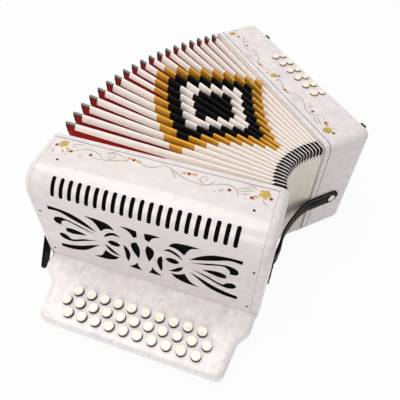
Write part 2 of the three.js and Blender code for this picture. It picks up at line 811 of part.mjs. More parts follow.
function makeBassButtons() {
  const sizes = buttonSizes(
    bassButtonRadius, bassButtonTopRadius, bassButtonBevel,
    bassFlangeRadius, bassFlangeHeight, bassWall, bassButtonHeight,
  );
  return bassPlaces().map(({ row, number, x, y }) => {
    const button = piece(`bass_button_${row}_${number}`, buttonGeometry(sizes), creamPearl);
    button.position.set(x, y, depth - sizes.foot);
    return button;
  });
}

function makeAirButton() {
  const sizes = buttonSizes(
    airButtonRadius, airButtonTopRadius, airButtonBevel,
    airFlangeRadius, airFlangeHeight, bassWall, airButtonHeight,
  );
  const button = piece('air_button', buttonGeometry(sizes), nickel);
  button.rotation.y = Math.PI * half;
  button.position.set(bassWidth - sizes.foot, length - airButtonMargin, airButtonZ);
  return button;
}

function makeHandStrap() {
  const face = bassWidth + pieceGap;
  const rise = handStrapRise - strapThickness;
  const line = [point(face, handStrapStart)];
  const from = handStrapStart + handStrapTab;
  const end = length - handStrapEndMargin;
  const to = end - handStrapTab;
  for (let i = 0; i <= strapSteps; i += 1) {
    const share = i / strapSteps;
    const lift = Math.sin(Math.PI * share) ** strapCurveShare;
    line.push(point(face + rise * lift, from + (to - from) * share));
  }
  line.push(point(face, end));
  const outline = band(line, 0, -strapThickness);
  const low = handStrapMiddle - handStrapWidth * half;
  return piece('hand_strap', geometryOf(solidOf(alongZ(outline, low, low + handStrapWidth))), leather);
}

function makeRail(name, middle) {
  const face = bassWidth + pieceGap;
  const outline = [
    point(face, middle - railWidth * half),
    point(face + railHeight, middle - railTopWidth * half),
    point(face + railHeight, middle + railTopWidth * half),
    point(face, middle + railWidth * half),
  ];
  return piece(name, alongZ(outline, railStart, depth - railFrontMargin), rubber);
}

// Bottom strap: from its folded end on the treble case, past the closed side of the fan, to the
// snap on the bass case
function makeBottomStrap() {
  const corner = bassCorner();
  const turn = -fanAngle * radian;
  const bassPoint = (x, y) => point(x, y).rotateAround(point(0, 0), turn).add(corner);
  const face = -pieceGap;
  const lifted = face - bottomStrapLift;
  const bendStart = point(bottomStrapBend, lifted);
  const bendEnd = bassPoint(-bottomStrapBassTab, face);
  const reach = bendStart.distanceTo(bendEnd) * strapReachShare;
  const bassDirection = bassPoint(-1, 0).sub(corner);
  const bend = new THREE.CubicBezierCurve(
    bendStart,
    bendStart.clone().add(point(reach, 0)),
    bendEnd.clone().addScaledVector(bassDirection, reach),
    bendEnd,
  );
  const line = [
    point(-bottomStrapTrebleEnd, lifted),
    ...bend.getPoints(strapSteps),
    bassPoint(bottomStrapSnap, face),
    bassPoint(bottomStrapSnap + bottomStrapTip, face),
  ];
  const outline = band(line, 0, -strapThickness);
  const low = bottomStrapHeight - bellowsStrapWidth * half;
  const high = low + bellowsStrapWidth;
  const fold = block(
    [-bottomStrapTrebleEnd, lifted - strapThickness * half, low],
    [bottomStrapFold - bottomStrapTrebleEnd, face, high],
  );
  const hole = new THREE.CylinderGeometry(snapHoleRadius, snapHoleRadius, overrun, roundSides);
  hole.rotateZ(turn);
  const place = bassPoint(bottomStrapSnap, face);
  hole.translate(place.x, place.y, bottomStrapHeight);
  const solid = cut(join(solidOf(alongZ(outline, low, high)), fold), solidOf(hole));
  return piece('bottom_strap', geometryOf(solid), leather);
}

function makeBottomSnap() {
  const post = pieceGap + strapThickness + pieceGap;
  const profile = [
    point(0, 0),
    point(snapPostRadius, 0),
    point(snapPostRadius, post - pieceGap),
    point(snapCapRadius, post - pieceGap),
    point(snapCapRadius, post - pieceGap + snapCapHeight * half),
    point(snapPostRadius, post - pieceGap + snapCapHeight),
    point(0, post - pieceGap + snapCapHeight),
  ];
  const geometry = new THREE.LatheGeometry(profile, roundSides);
  const snap = piece('bottom_snap', geometryOf(solidOf(geometry)), nickel);
  snap.rotation.x = Math.PI;
  snap.position.set(bottomStrapSnap, -pieceGap, bottomStrapHeight);
  return snap;
}

// Top strap: unsnapped, it hangs from its rivet on the treble case's top end
function makeTopStrap() {
  const pivot = point(topStrapPivotX, topStrapPivotZ);
  const radius = bellowsStrapWidth * half;
  const tip = point(topStrapTipX, radius + topStrapTipGap);
  const lean = tip.clone().sub(pivot).angle() / radian;
  const outline = [
    ...arc(pivot.x, pivot.y, radius, lean + quarterTurn, lean + quarterTurn * 3, endSteps * 2),
    ...arc(tip.x, tip.y, radius, lean - quarterTurn, lean + quarterTurn, endSteps * 2),
  ];
  const start = length + pieceGap;
  return piece('top_strap', alongY(outline, start, start + strapThickness), leather);
}

// Assembly
function makeAccordion() {
  const accordion = new THREE.Group();
  accordion.add(
    makeTrebleCase(),
    makeGrilleCover(),
    makeGrilleCloth(),
    makeFingerboard(),
    makeReedBlock('treble_reed_block', trebleReedRows, -trebleSoundboardInset + pieceGap, 1),
    makeFrame('treble_bellows_frame', pieceGap * half, frameWidth),
    makeBellows(),
    makeBottomStrap(),
    makeTopStrap(),
    ...makeTrebleButtons(),
  );
  const bass = new THREE.Group();
  const corner = bassCorner();
  bass.position.set(corner.x, corner.y, 0);
  bass.rotation.z = -fanAngle * radian;
  bass.add(
    makeFrame('bass_bellows_frame', -frameWidth, -pieceGap * half),
    makeBassCase(),
    makeReedBlock('bass_reed_block', bassReedRows, bassSoundboardInset - pieceGap, -1),
    makeAirButton(),
    makeHandStrap(),
    makeRail('bottom_foot_rail', bottomRailMargin),
    makeRail('top_foot_rail', length - topRailMargin),
    makeBottomSnap(),
    ...makeBassButtons(),
  );
  accordion.add(bass);
  accordion.position.set(trebleWidth * half, -length * half, 0);
  return accordion;
}

export default makeAccordion();
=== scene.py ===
# %% [markdown]
# # A diatonic button accordion in white pearl
# The instrument lies on its back with its bellows fanned open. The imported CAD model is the
# fixed frame: it says where every body is and how it moves. This script dresses that frame
# with finer shapes and with materials that are worked out from what the real ones are.

# %% Load the frame
import math

import bmesh
import bpy
import numpy as np
from mathutils import Matrix, Vector, geometry


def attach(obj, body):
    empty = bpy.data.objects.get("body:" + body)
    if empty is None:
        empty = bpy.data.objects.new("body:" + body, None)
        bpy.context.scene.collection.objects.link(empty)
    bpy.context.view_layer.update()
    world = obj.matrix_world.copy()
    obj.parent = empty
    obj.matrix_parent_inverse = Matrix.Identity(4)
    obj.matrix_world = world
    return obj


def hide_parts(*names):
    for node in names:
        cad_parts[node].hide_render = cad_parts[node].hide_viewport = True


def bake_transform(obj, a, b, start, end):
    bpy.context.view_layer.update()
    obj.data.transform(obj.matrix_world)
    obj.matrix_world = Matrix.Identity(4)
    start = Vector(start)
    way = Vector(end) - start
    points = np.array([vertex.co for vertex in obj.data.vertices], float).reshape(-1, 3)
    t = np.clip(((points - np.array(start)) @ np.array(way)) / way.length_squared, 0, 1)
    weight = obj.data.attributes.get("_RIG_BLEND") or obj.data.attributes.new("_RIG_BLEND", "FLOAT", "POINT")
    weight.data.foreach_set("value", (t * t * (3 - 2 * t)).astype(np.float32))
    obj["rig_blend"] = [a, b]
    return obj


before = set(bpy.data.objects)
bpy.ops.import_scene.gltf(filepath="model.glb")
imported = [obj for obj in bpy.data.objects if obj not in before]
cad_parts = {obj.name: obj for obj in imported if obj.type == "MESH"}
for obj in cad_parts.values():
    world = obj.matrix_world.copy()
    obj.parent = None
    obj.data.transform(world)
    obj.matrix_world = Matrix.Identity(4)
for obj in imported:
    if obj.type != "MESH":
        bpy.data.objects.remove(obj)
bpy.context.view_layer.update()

scene = bpy.context.scene
scene.view_settings.view_transform = "Standard"

# %% [markdown]
# ## Two drawing frames
# Every shape is drawn in millimetres, as a maker would measure it on the instrument: x from the
# seam between case and bellows, y from the bottom end, z from the back. The treble side is
# square to the world. The bass side is drawn in the same way, and is then turned with the fan.

# %% Sizes that the whole instrument shares
LENGTH = 312.0 # bottom end to top end
DEPTH = 183.4 # back to front
END_RADIUS = 12.0 # rounding of the long edges at both ends
CHEEK = 12.0 # thickness of the treble case's two ends
CASE_WIDTH = 84.3 # treble case, from its seam
BASS_WIDTH = 66.0 # bass case, from its seam
GAP = 0.3 # clearance between pieces that touch
SEAM = GAP / 2 # each side stands this far back from a seam
FAN = math.radians(46.4) # how far the bellows stands open
PIVOT = np.array([59.7, -2.3]) # the line that the fan turns about, seen from the front
CLOSED = 94.0 # the shut bellows, between its frames
FRAME_WIDTH = 7.0
ORIGIN = np.array([CASE_WIDTH / 2, -LENGTH / 2, 0.0])


def turned(xy, angle, about):
    """Points in the plan, turned by one angle or by an angle each."""
    d = np.asarray(xy, float) - about
    c, s = np.cos(angle), np.sin(angle)
    return np.stack([c * d[..., 0] - s * d[..., 1], s * d[..., 0] + c * d[..., 1]], -1) + about


BASS_CORNER = turned([FRAME_WIDTH * 2 + CLOSED, 0.0], -FAN, PIVOT)


def placed(points, side="treble"):
    """Millimetres in one of the two drawing frames, as metres in the frame's own space."""
    p = np.array(points, float)
    if side == "bass":
        p[:, :2] = turned(p[:, :2], -FAN, np.zeros(2)) + BASS_CORNER
    return (p + ORIGIN) / 1000


print("bass corner at", np.round(BASS_CORNER, 2), "mm")

# %% [markdown]
# ## Small tools for meshes
# Most pieces are lofts: rings of points with skin between them. Blender's own modifiers could
# make many of them, but a loft says where each point lies in millimetres. A sharp edge is told
# from a rounded one by its angle, so that broad faces stay flat and roundings shade smoothly.

# %% Mesh tools


def loft(rings, loop=False):
    """Points and faces through rings of equal counts, each ring closed on itself."""
    count = len(rings[0])
    points = np.concatenate([np.asarray(r, float) for r in rings])
    faces = []
    steps = len(rings) if loop else len(rings) - 1
    for i in range(steps):
        a, b = i * count, ((i + 1) % len(rings)) * count
        for k in range(count):
            n = (k + 1) % count
            faces.append((a + k, a + n, b + n, b + k))
    if not loop:
        faces.append(tuple(range(count))[::-1])
        faces.append(tuple(range(len(points) - count, len(points))))
    return points, faces


def gathered(parts):
    """Several sets of points and faces as one."""
    points, faces, start = [], [], 0
    for p, f in parts:
        points.append(np.asarray(p, float))
        faces += [tuple(v + start for v in face) for face in f]
        start += len(p)
    return np.concatenate(points), faces


SHARP = 38 # degrees: an edge that turns by more is drawn crisp


def mesh_of(name, points, faces, materials, indices=None, sharp=SHARP, outward=True):
    """A mesh in metres, its normals outward and its sharp edges marked."""
    mesh = bpy.data.meshes.new(name)
    mesh.from_pydata([tuple(p) for p in points], [], faces)
    for m in materials:
        mesh.materials.append(m)
    if indices is not None:
        mesh.polygons.foreach_set("material_index", indices)
    if outward:
        bm = bmesh.new()
        bm.from_mesh(mesh)
        bmesh.ops.recalc_face_normals(bm, faces=bm.faces)
        bm.to_mesh(mesh)
        bm.free()
    mesh.shade_smooth()
    mesh.set_sharp_from_angle(angle=math.radians(sharp))
    return mesh


def linked(name, data):
    """A new object in the scene."""
    obj = bpy.data.objects.new(name, data)
    scene.collection.objects.link(obj)
    return obj


def piece(name, points, faces, materials, body, slot, side="treble", replaces=(), **more):
    """A finished piece that rides on a body of the frame."""
    obj = linked(name, mesh_of(name, placed(points, side), faces, materials, **more))
    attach(obj, body)
    if replaces:
        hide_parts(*replaces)
    return obj


def arc(centre, radius, start, end, steps):
    """Points of an arc, between two angles in degrees."""
    t = np.radians(np.linspace(start, end, steps + 1))
    return np.stack([centre[0] + radius * np.cos(t), centre[1] + radius * np.sin(t)], -1)


def inset(line, by):
    """An open line moved to its left by a distance, its corners mitred."""
    line = np.asarray(line, float)
    ahead = np.roll(line, -1, 0) - line
    ahead[-1] = ahead[-2]
    ahead /= np.linalg.norm(ahead, axis=1)[:, None]
    behind = np.roll(ahead, 1, 0)
    behind[0] = ahead[0]
    n1 = np.stack([-behind[:, 1], behind[:, 0]], -1)
    n2 = np.stack([-ahead[:, 1], ahead[:, 0]], -1)
    return line + by * (n1 + n2) / (1 + (n1 * n2).sum(1))[:, None]


def heading(line):
    """The way a line runs at each of its points."""
    ahead = np.gradient(np.asarray(line, float), axis=0)
    return ahead / np.linalg.norm(ahead, axis=1)[:, None]


def distances(line):
    """How far along a line each of its points is."""
    return np.concatenate([[0], np.cumsum(np.linalg.norm(np.diff(line, axis=0), axis=1))])


def rounding(radius, steps=8):
    """How far in, and how far along, a rounded edge is at each step from its end."""
    t = np.radians(np.linspace(0, 90, steps + 1))
    return list(zip(radius * (1 - np.sin(t)), radius * (1 - np.cos(t))))


def carve(obj, parts, material, side="treble"):
    """Cuts openings into a piece, with the walls in a material of their own."""
    points, faces = gathered(parts)
    cutter = linked("cutter", mesh_of("cutter", placed(points, side), faces, [material]))
    mod = obj.modifiers.new("openings", "BOOLEAN")
    mod.solver = "EXACT"
    mod.object = cutter
    mod.material_mode = "TRANSFER"
    bpy.context.view_layer.update()
    whole = obj.evaluated_get(bpy.context.evaluated_depsgraph_get())
    mesh = bpy.data.meshes.new_from_object(whole)
    obj.modifiers.clear()
    obj.data = mesh
    mesh.set_sharp_from_angle(angle=math.radians(SHARP))
    bpy.data.objects.remove(cutter)


def flat_first(obj):
    """Keeps the broad faces flat where a rounding runs into them."""
    mod = obj.modifiers.new("flat faces", "WEIGHTED_NORMAL")
    mod.keep_sharp = True


def lathe(profile, steps, centre=(0, 0, 0)):
    """A turned piece: its profile in radius and height, about an upright line."""
    t = np.linspace(0, 2 * np.pi, steps, endpoint=False)
    return loft([
        np.stack([r * np.cos(t), r * np.sin(t), np.full(steps, z)], -1) + centre for r, z in profile
    ])


# %% [markdown]
# ## Colours and nodes
# Colours are written as sRGB hex, as a paint chart gives them, and one function turns them
# to the linear values that Blender works in. One function adds a node with its settings.

# %% Material tools


def colour(code):
    """An sRGB hex colour as linear RGBA."""
    parts = [int(code[i : i + 2], 16) / 255 for i in (1, 3, 5)]
    return [*(c / 12.92 if c <= 0.04045 else ((c + 0.055) / 1.055) ** 2.4 for c in parts), 1]


def add(tree, kind, sockets=None, **settings):
    """Adds a shader node, with its settings, and a value or a link for each named socket."""
    made = tree.nodes.new("ShaderNode" + kind)
    for name, value in settings.items():
        setattr(made, name, value)
    for name, value in (sockets or {}).items():
        if isinstance(value, bpy.types.NodeSocket):
            tree.links.new(value, made.inputs[name])
        else:
            made.inputs[name].default_value = value
    return made


def finish_of(name, **sockets):
    """A new material with its main shader, and the coordinates of the piece it is on."""
    made = bpy.data.materials.new(name)
    made.use_nodes = True
    tree = made.node_tree
    shader = tree.nodes["Principled BSDF"]
    for key, value in sockets.items():
        shader.inputs[key.replace("_", " ")].default_value = value
    place = add(tree, "TexCoord").outputs["Object"]
    return made, tree, shader, place


def wired(tree, shader, **outputs):
    """Links outputs to the shader's sockets of the same names."""
    for key, output in outputs.items():
        tree.links.new(output, shader.inputs[key.replace("_", " ")])


def per(mm):
    """Cells per metre of a noise or cell pattern that repeats about every so many millimetres."""
    return 1000 / mm


def bands(mm):
    """Scale of a wave pattern whose bands lie so many millimetres apart."""
    return 2 * math.pi / 20 / (mm / 1000)


# %% [markdown]
# ## Pearl celluloid
# The cases are of wood, covered with pearl celluloid: a sheet with mother-of-pearl flakes, cut
# from a cast block. The flakes lie at all angles, so each gives back a little more or less
# light, in white, lilac and cream. The sheet is polished, and a clear skin lies over the flakes.
# A photograph of such a sheet could be used, but it would repeat and hold one light. Cells of a
# cell pattern, bent by noise, give the flakes their shapes instead, at 6 to 9 mm as on real sheet.

# %% Pearl celluloid


def pearl(name, tones, flake, contrast, stretch=(1, 0.55, 1), swirl=0.006):
    """The sheet, from two ground tones, a lilac and a bright one, with flakes of a size in mm."""
    made, tree, shader, place = finish_of(
        name, Roughness=0.32, IOR=1.5, Coat_Weight=0.55, Coat_Roughness=0.12, Coat_IOR=1.5
    )
    drift = add(
        tree, "TexNoise", {"Vector": place, "Scale": per(flake * 2), "Detail": 3.0}
    )
    lain = add(tree, "Mapping", {"Vector": place, "Scale": stretch})
    bent = add(
        tree, "Mix", {0: swirl, 6: lain.outputs[0], 7: drift.outputs["Color"]},
        data_type="RGBA", blend_type="ADD",
    )
    cells = add(tree, "TexVoronoi", {"Vector": bent.outputs[2], "Scale": per(flake)})
    tint = add(tree, "SeparateColor", {"Color": cells.outputs["Color"]})
    cloud = add(
        tree, "TexNoise", {"Vector": bent.outputs[2], "Scale": per(flake * 6), "Detail": 4.0}
    )
    # each flake has its own brightness, and fades a little towards its rim
    bright = add(
        tree, "Math",
        {0: tint.outputs["Red"], 1: cells.outputs["Distance"]}, operation="SUBTRACT",
    )
    share = add(
        tree, "MapRange",
        {"Value": bright.outputs[0], "From Min": -0.35, "From Max": 0.6, "To Max": contrast},
    )
    base = add(
        tree, "Mix",
        {0: cloud.outputs["Fac"], 6: colour(tones[0]), 7: colour(tones[1])}, data_type="RGBA",
    )
    lilac = add(
        tree, "MapRange",
        {"Value": tint.outputs["Green"], "From Min": 0.55, "From Max": 1.0, "To Max": contrast},
    )
    tinted = add(
        tree, "Mix", {0: lilac.outputs[0], 6: base.outputs[2], 7: colour(tones[2])},
        data_type="RGBA",
    )
    flakes = add(
        tree, "Mix", {0: share.outputs[0], 6: tinted.outputs[2], 7: colour(tones[3])},
        data_type="RGBA",
    )
    gloss = add(
        tree, "MapRange", {"Value": tint.outputs["Blue"], "To Min": 0.24, "To Max": 0.4}
    )
    # the flakes stand at slightly different angles under the skin
    bump = add(
        tree, "Bump",
        {"Height": tint.outputs["Red"], "Strength": 0.12, "Distance": 0.00004},
    )
    wired(tree, shader, Base_Color=flakes.outputs[2], Roughness=gloss.outputs[0],
          Normal=bump.outputs[0])
    return made


# near white with a pinkish grey shade, lilac and bright flakes: the eye reads polished pearl
PEARL = pearl("pearl_celluloid", ["#EBE4E3", "#E1D9D9", "#DCD2DA", "#F8F4F2"], 6.5, 0.55)
# the same sheet on the cover, calmer, because it was cut along the flakes
COVER_PEARL = pearl(
    "pearl_celluloid_cover", ["#ECE5E4", "#E4DCDB", "#E1D8DC", "#F6F2F0"], 9, 0.42
)
# the sheet on the fingerboard, cut across the flakes, so that each one flashes by itself
BOARD_PEARL = pearl(
    "pearl_celluloid_board", ["#F7F1EF", "#EBE4E4", "#E3DAE2", "#FFFEFC"], 6.0, 0.75,
    stretch=(0.7, 1, 1),
)

# %% [markdown]
# ## Cloth
# The bellows is bound with glazed and dyed cotton, and plain black cloth lies behind the grille.
# Cloth could be one flat colour, but close to, its threads break up the light. Two wave patterns
# that cross make a weave. Real threads lie about 0.3 mm apart, too fine to show in the render,
# so they are drawn 0.8 to 1.2 mm apart.

# %% Cloth, card and tape of the bellows


def cloth(name, shades, thread, roughness, bump_share=0.5, **sockets):
    """A woven cloth: two wave patterns that cross, and a slow drift of its dye."""
    made, tree, shader, place = finish_of(name, Roughness=roughness, IOR=1.5, **sockets)
    warp = add(
        tree, "TexWave", {"Vector": place, "Scale": bands(thread), "Distortion": 0.6},
        bands_direction="Y",
    )
    weft = add(
        tree, "TexWave", {"Vector": place, "Scale": bands(thread), "Distortion": 0.6},
        bands_direction="DIAGONAL",
    )
    weave = add(
        tree, "Math", {0: warp.outputs["Fac"], 1: weft.outputs["Fac"]}, operation="MULTIPLY",
    )
    drift = add(tree, "TexNoise", {"Vector": place, "Scale": per(18), "Detail": 5.0})
    mottled = add(
        tree, "Mix", {0: drift.outputs["Fac"], 6: colour(shades[0]), 7: colour(shades[1])},
        data_type="RGBA",
    )
    dyed = add(
        tree, "Mix", {0: 0.12, 6: mottled.outputs[2], 7: weave.outputs[0]},
        data_type="RGBA", blend_type="OVERLAY",
    )
    bump = add(
        tree, "Bump", {"Height": weave.outputs[0], "Strength": bump_share, "Distance": 0.0001}
    )
    wired(tree, shader, Base_Color=dyed.outputs[2], Normal=bump.outputs[0])
    return made


# glazed white calico over the ridges, a little warm, with a dull sheen
WHITE_TAPE = cloth("white_bellows_calico", ["#FFF8F2", "#F8EEE6"], 0.9, 0.6)
# glazed cloth of the closed side, creamier than the tape, because it is never folded
CREAM_BINDING = cloth("cream_binding_cloth", ["#FEF9EF", "#F8F1E4"], 0.9, 0.5)
# dyed cloth in the folds, deep red and matt
RED_CLOTH = cloth("red_valley_cloth", ["#AE120E", "#8A0C09"], 0.9, 0.85, Specular_IOR_Level=0.25)
# gold-printed tape: half metal, half cloth, so it stays ochre where no light strikes it
GOLD_TAPE = cloth("gold_printed_tape", ["#E4AE3A", "#BE8A22"], 0.8, 0.38, Metallic=0.45)
# black tape of the diamond: deep and even, with barely a sheen
BLACK_TAPE = cloth("black_satin_tape", ["#030304", "#070708"], 0.8, 0.6, Specular_IOR_Level=0.1)
# loose black cloth behind the grille: it gives back no light, so the openings read as holes
GRILLE_CLOTH = cloth(
    "black_grille_cloth", ["#040404", "#070707"], 1.2, 0.95, Specular_IOR_Level=0.1
)

# %% [markdown]
# ## Metal, glass, rubber, wood and leather
# These differ mostly in how they shine. Each could have nodes of its own, but one noise that
# drives colour, shine and relief serves nearly all of them, so they stay alike in kind. Each
# starts from the usual roughness of its material, and a metal keeps the default refraction.

# %% Metals, leather, rubber, stones and wood


def plain_finish(name, shades, grain, roughness, spread=0.08, bump=0.0, depth=0.0001,
                 stretch=(1, 1, 1), **sockets):
    """A finish with one noise pattern for its colour, its roughness and its relief."""
    made, tree, shader, place = finish_of(name, **sockets)
    fitted = add(tree, "Mapping", {"Vector": place, "Scale": stretch})
    noise = add(
        tree, "TexNoise", {"Vector": fitted.outputs[0], "Scale": per(grain), "Detail": 6.0}
    )
    tone = add(
        tree, "Mix", {0: noise.outputs["Fac"], 6: colour(shades[0]), 7: colour(shades[1])},
        data_type="RGBA",
    )
    rough = add(
        tree, "MapRange",
        {"Value": noise.outputs["Fac"], "To Min": roughness - spread, "To Max": roughness + spread},
    )
    wired(tree, shader, Base_Color=tone.outputs[2], Roughness=rough.outputs[0])
    if bump:
        relief = add(
            tree, "Bump",
            {"Height": noise.outputs["Fac"], "Strength": bump, "Distance": depth},
        )
        wired(tree, shader, Normal=relief.outputs[0])
    return made


# polished nickel plate, with the faint wipe marks that handling leaves
NICKEL = plain_finish("nickel_plate", ["#D6D4D0", "#BFBDB9"], 14, 0.2, Metallic=1)
# dark steel: the own colour of the screws and the strap plate, and painted shade on the flanks of the corner
# caps
DARK_STEEL_AND_SHADE = plain_finish("blackened_steel_and_painted_shade", ["#353335", "#1E1D1F"], 5, 0.36, Metallic=1)
# the noses of the same corners at the open end, mid grey: a painted highlight where they face the light, not
# as bright as plate
HIGHLIT_STEEL = plain_finish("steel_painted_highlight", ["#96938E", "#6A6763"], 4, 0.36, Metallic=1)
# turned brass, partly its own brown and partly darkened with painted shade for the gap round the stem: warm,
# dark and only half bright
BRASS_WITH_SHADE = plain_finish("brass_with_painted_shade", ["#4A3020", "#2A1A10"], 3, 0.45, Metallic=0.4)
# the bass buttons' stems: the same brass, lighter, without the painted shade of the treble stems
BRIGHT_BRASS = plain_finish("turned_brass", ["#B0854A", "#8A6232"], 3, 0.4, Metallic=0.5)
# leaf metal of the ornament, thin and pale
GOLD_LEAF = plain_finish("gold_leaf", ["#D4BC70", "#9A7C3A"], 3.5, 0.42, Metallic=0.4)
# a second, redder gold for the leaves, as in two-coloured gilding
ROSE_GILT = plain_finish("rose_gilt", ["#D6B48C", "#B08A5C"], 3.0, 0.42, Metallic=0.3)
# printed ink of the vines, warm grey with a little gold in it, matt
SCROLL_INK = plain_finish("grey_gold_ink", ["#BCB3A4", "#A0978A"], 6, 0.5)
# cut glass over red foil: dark red, with small sharp lights on its facets
RED_GLASS = plain_finish(
    "red_cut_glass", ["#A90C15", "#6C060C"], 1.2, 0.14, spread=0.04, IOR=1.54, Coat_Weight=0.2
)
# cream pearl caps of the buttons, cast and polished
BUTTON_PEARL = plain_finish(
    "cream_pearl_cap", ["#FFFBF1", "#F7EFDC"], 3.2, 0.2, spread=0.05, IOR=1.5, Coat_Weight=0.5,
    Coat_Roughness=0.08,
)
# matt black painted shade, in bores, on cut walls and in screw slots
SHADE_BLACK = plain_finish(
    "painted_shade_black", ["#040404", "#080808"], 2, 0.85, Specular_IOR_Level=0.1
)
# moulded rubber: dull dark grey, its grain of about 0.5 mm drawn as 0.9 mm so that it shows
RUBBER = plain_finish("moulded_rubber", ["#151515", "#232323"], 0.9, 0.8, bump=0.3, IOR=1.52)
# planed spruce under thin varnish: yellow brown, with growth rings about 2 mm apart
SPRUCE = plain_finish(
    "varnished_spruce", ["#C79A62", "#A9783F"], 2.2, 0.5, bump=0.15, stretch=(1, 0.06, 1), IOR=1.5
)
# waxed linen thread, pale and a little rough against the leather
THREAD = plain_finish("waxed_thread", ["#C4B9A4", "#D8CEBB"], 0.6, 0.6, bump=0.4)


def leather(name, shades):
    """Smooth black leather. Real pebbles are about 0.5 mm wide, and are drawn as 1.1 mm."""
    made, tree, shader, place = finish_of(name, IOR=1.5, Specular_IOR_Level=0.07)
    drift = add(tree, "TexNoise", {"Vector": place, "Scale": per(9), "Detail": 6.0})
    pebble = add(
        tree, "TexVoronoi", {"Vector": place, "Scale": per(1.1)}, feature="SMOOTH_F1"
    )
    tone = add(
        tree, "Mix", {0: drift.outputs["Fac"], 6: colour(shades[0]), 7: colour(shades[1])},
        data_type="RGBA",
    )
    rough = add(
        tree, "MapRange", {"Value": drift.outputs["Fac"], "To Min": 0.42, "To Max": 0.6}
    )
    bump = add(
        tree, "Bump",
        {"Height": pebble.outputs["Distance"], "Strength": 0.35, "Distance": 0.00012},
    )
    wired(tree, shader, Base_Color=tone.outputs[2], Roughness=rough.outputs[0],
          Normal=bump.outputs[0])
    return made


# waxed black strap leather: nearly black, its edges picked out by a soft broad shine
LEATHER = leather("black_leather", ["#040303", "#0A0808"])
print("materials:", len(bpy.data.materials))

# %% [markdown]
# ## The treble case
# The case is a box between two solid end cheeks. Front, bend and outer side are one curved
# line, so a cheek is that line, drawn in more and more towards the end to round its edge. A box
# with a bevel would be quicker, but it couldn't follow the bend.

# %% The line round the treble case
FRONT_FLAT = 42.0 # flat part of the front, from the seam
BEND_CONTROL = np.array([-76.5, DEPTH]) # where front and side would meet without the bend
SIDE_TOP = np.array([-78.5, 143.0])
SIDE_FOOT = np.array([-CASE_WIDTH, 34.4]) # lower edge of the cover
BACK_RADIUS = 14.0
SEAT = -80.0 # face that the fingerboard is let in to
REBATE_TOP = 33.3 # upper edge of that place
BACK_WALL = 8.0
SIDE_WALL = -75.0 # inner face of the outer side


def cover_line(start, steps=28):
    """From the seam over the front and round the bend to the cover's lower edge."""
    t = np.linspace(0, 1, steps + 1)[:, None]
    first = np.array([-FRONT_FLAT, DEPTH])
    bend = (1 - t) ** 2 * first + 2 * t * (1 - t) * BEND_CONTROL + t**2 * SIDE_TOP
    return np.concatenate([[[start, DEPTH]], bend, [SIDE_FOOT]])


def case_line():
    """Right round the case, from the seam at the front to the seam at the back."""
    back = arc((BACK_RADIUS - CASE_WIDTH, BACK_RADIUS), BACK_RADIUS, 180, 270, 10)
    return np.concatenate([cover_line(-SEAM), back, [[-SEAM, 0.0]]])


def with_y(line, y):
    """A line of x and z, at one distance from the bottom end."""
    return np.stack([line[:, 0], np.full(len(line), y), line[:, 1]], -1)


line = case_line()
cheek_rings = [with_y(inset(line, i), a) for i, a in rounding(END_RADIUS, 10)]
for name, flip in (("bottom", False), ("top", True)):
    points, faces = loft(cheek_rings)
    if flip:
        points[:, 1] = LENGTH - points[:, 1]
    cheek = piece(f"treble_cheek_{name}", points, faces, [PEARL], "treble", "pearl_celluloid",
                  replaces=["treble_case"])
    rabbet = loft([
        [[-120, y, -20], [SEAT, y, -20], [SEAT, y, REBATE_TOP], [-120, y, REBATE_TOP]]
        for y in (3.1, 304.3)
    ])
    carve(cheek, [rabbet], PEARL)
    flat_first(cheek)
foot = SIDE_FOOT[1] - GAP
back = np.array([
    [-SEAM, 0], *arc((BACK_RADIUS - CASE_WIDTH, BACK_RADIUS), BACK_RADIUS, 270, 226, 6),
    [SEAT, REBATE_TOP], [-CASE_WIDTH, REBATE_TOP], [-CASE_WIDTH, foot], [SIDE_WALL, foot],
    [SIDE_WALL, BACK_WALL], [-SEAM, BACK_WALL],
])
piece(
    "treble_case_back", *loft([with_y(back, y) for y in (CHEEK, LENGTH - CHEEK)]), [PEARL],
    "treble", "pearl_celluloid",
)
piece(
    "treble_soundboard",
    *loft([[[-10, y, 4], [-4, y, 4], [-4, y, 181], [-10, y, 181]] for y in (8, 304)]),
    [SPRUCE], "treble", "spruce",
)
print("cheek rings:", len(cheek_rings), "points each:", len(line))

# %% [markdown]
# ## The pierced grille cover
# The cover is one bent plate. Vents run along its bend, and leaves are pierced in its side,
# with black cloth behind. It is laid flat as a pattern, cut with all its openings, and bent
# over the line of the case afterwards, so the openings stay crisp and the bend stays smooth.
# Distances along the case are from its top end, and on the side from a line near the bend.

# %% The openings, drawn flat
COVER = cover_line(-0.6)
STEP = distances(COVER)
SIDE_START = STEP[-2]
SIDE_SLOPE = (SIDE_TOP[1] - SIDE_FOOT[1]) / (STEP[-1] - STEP[-2])
PATTERN_MIDDLE = LENGTH / 2

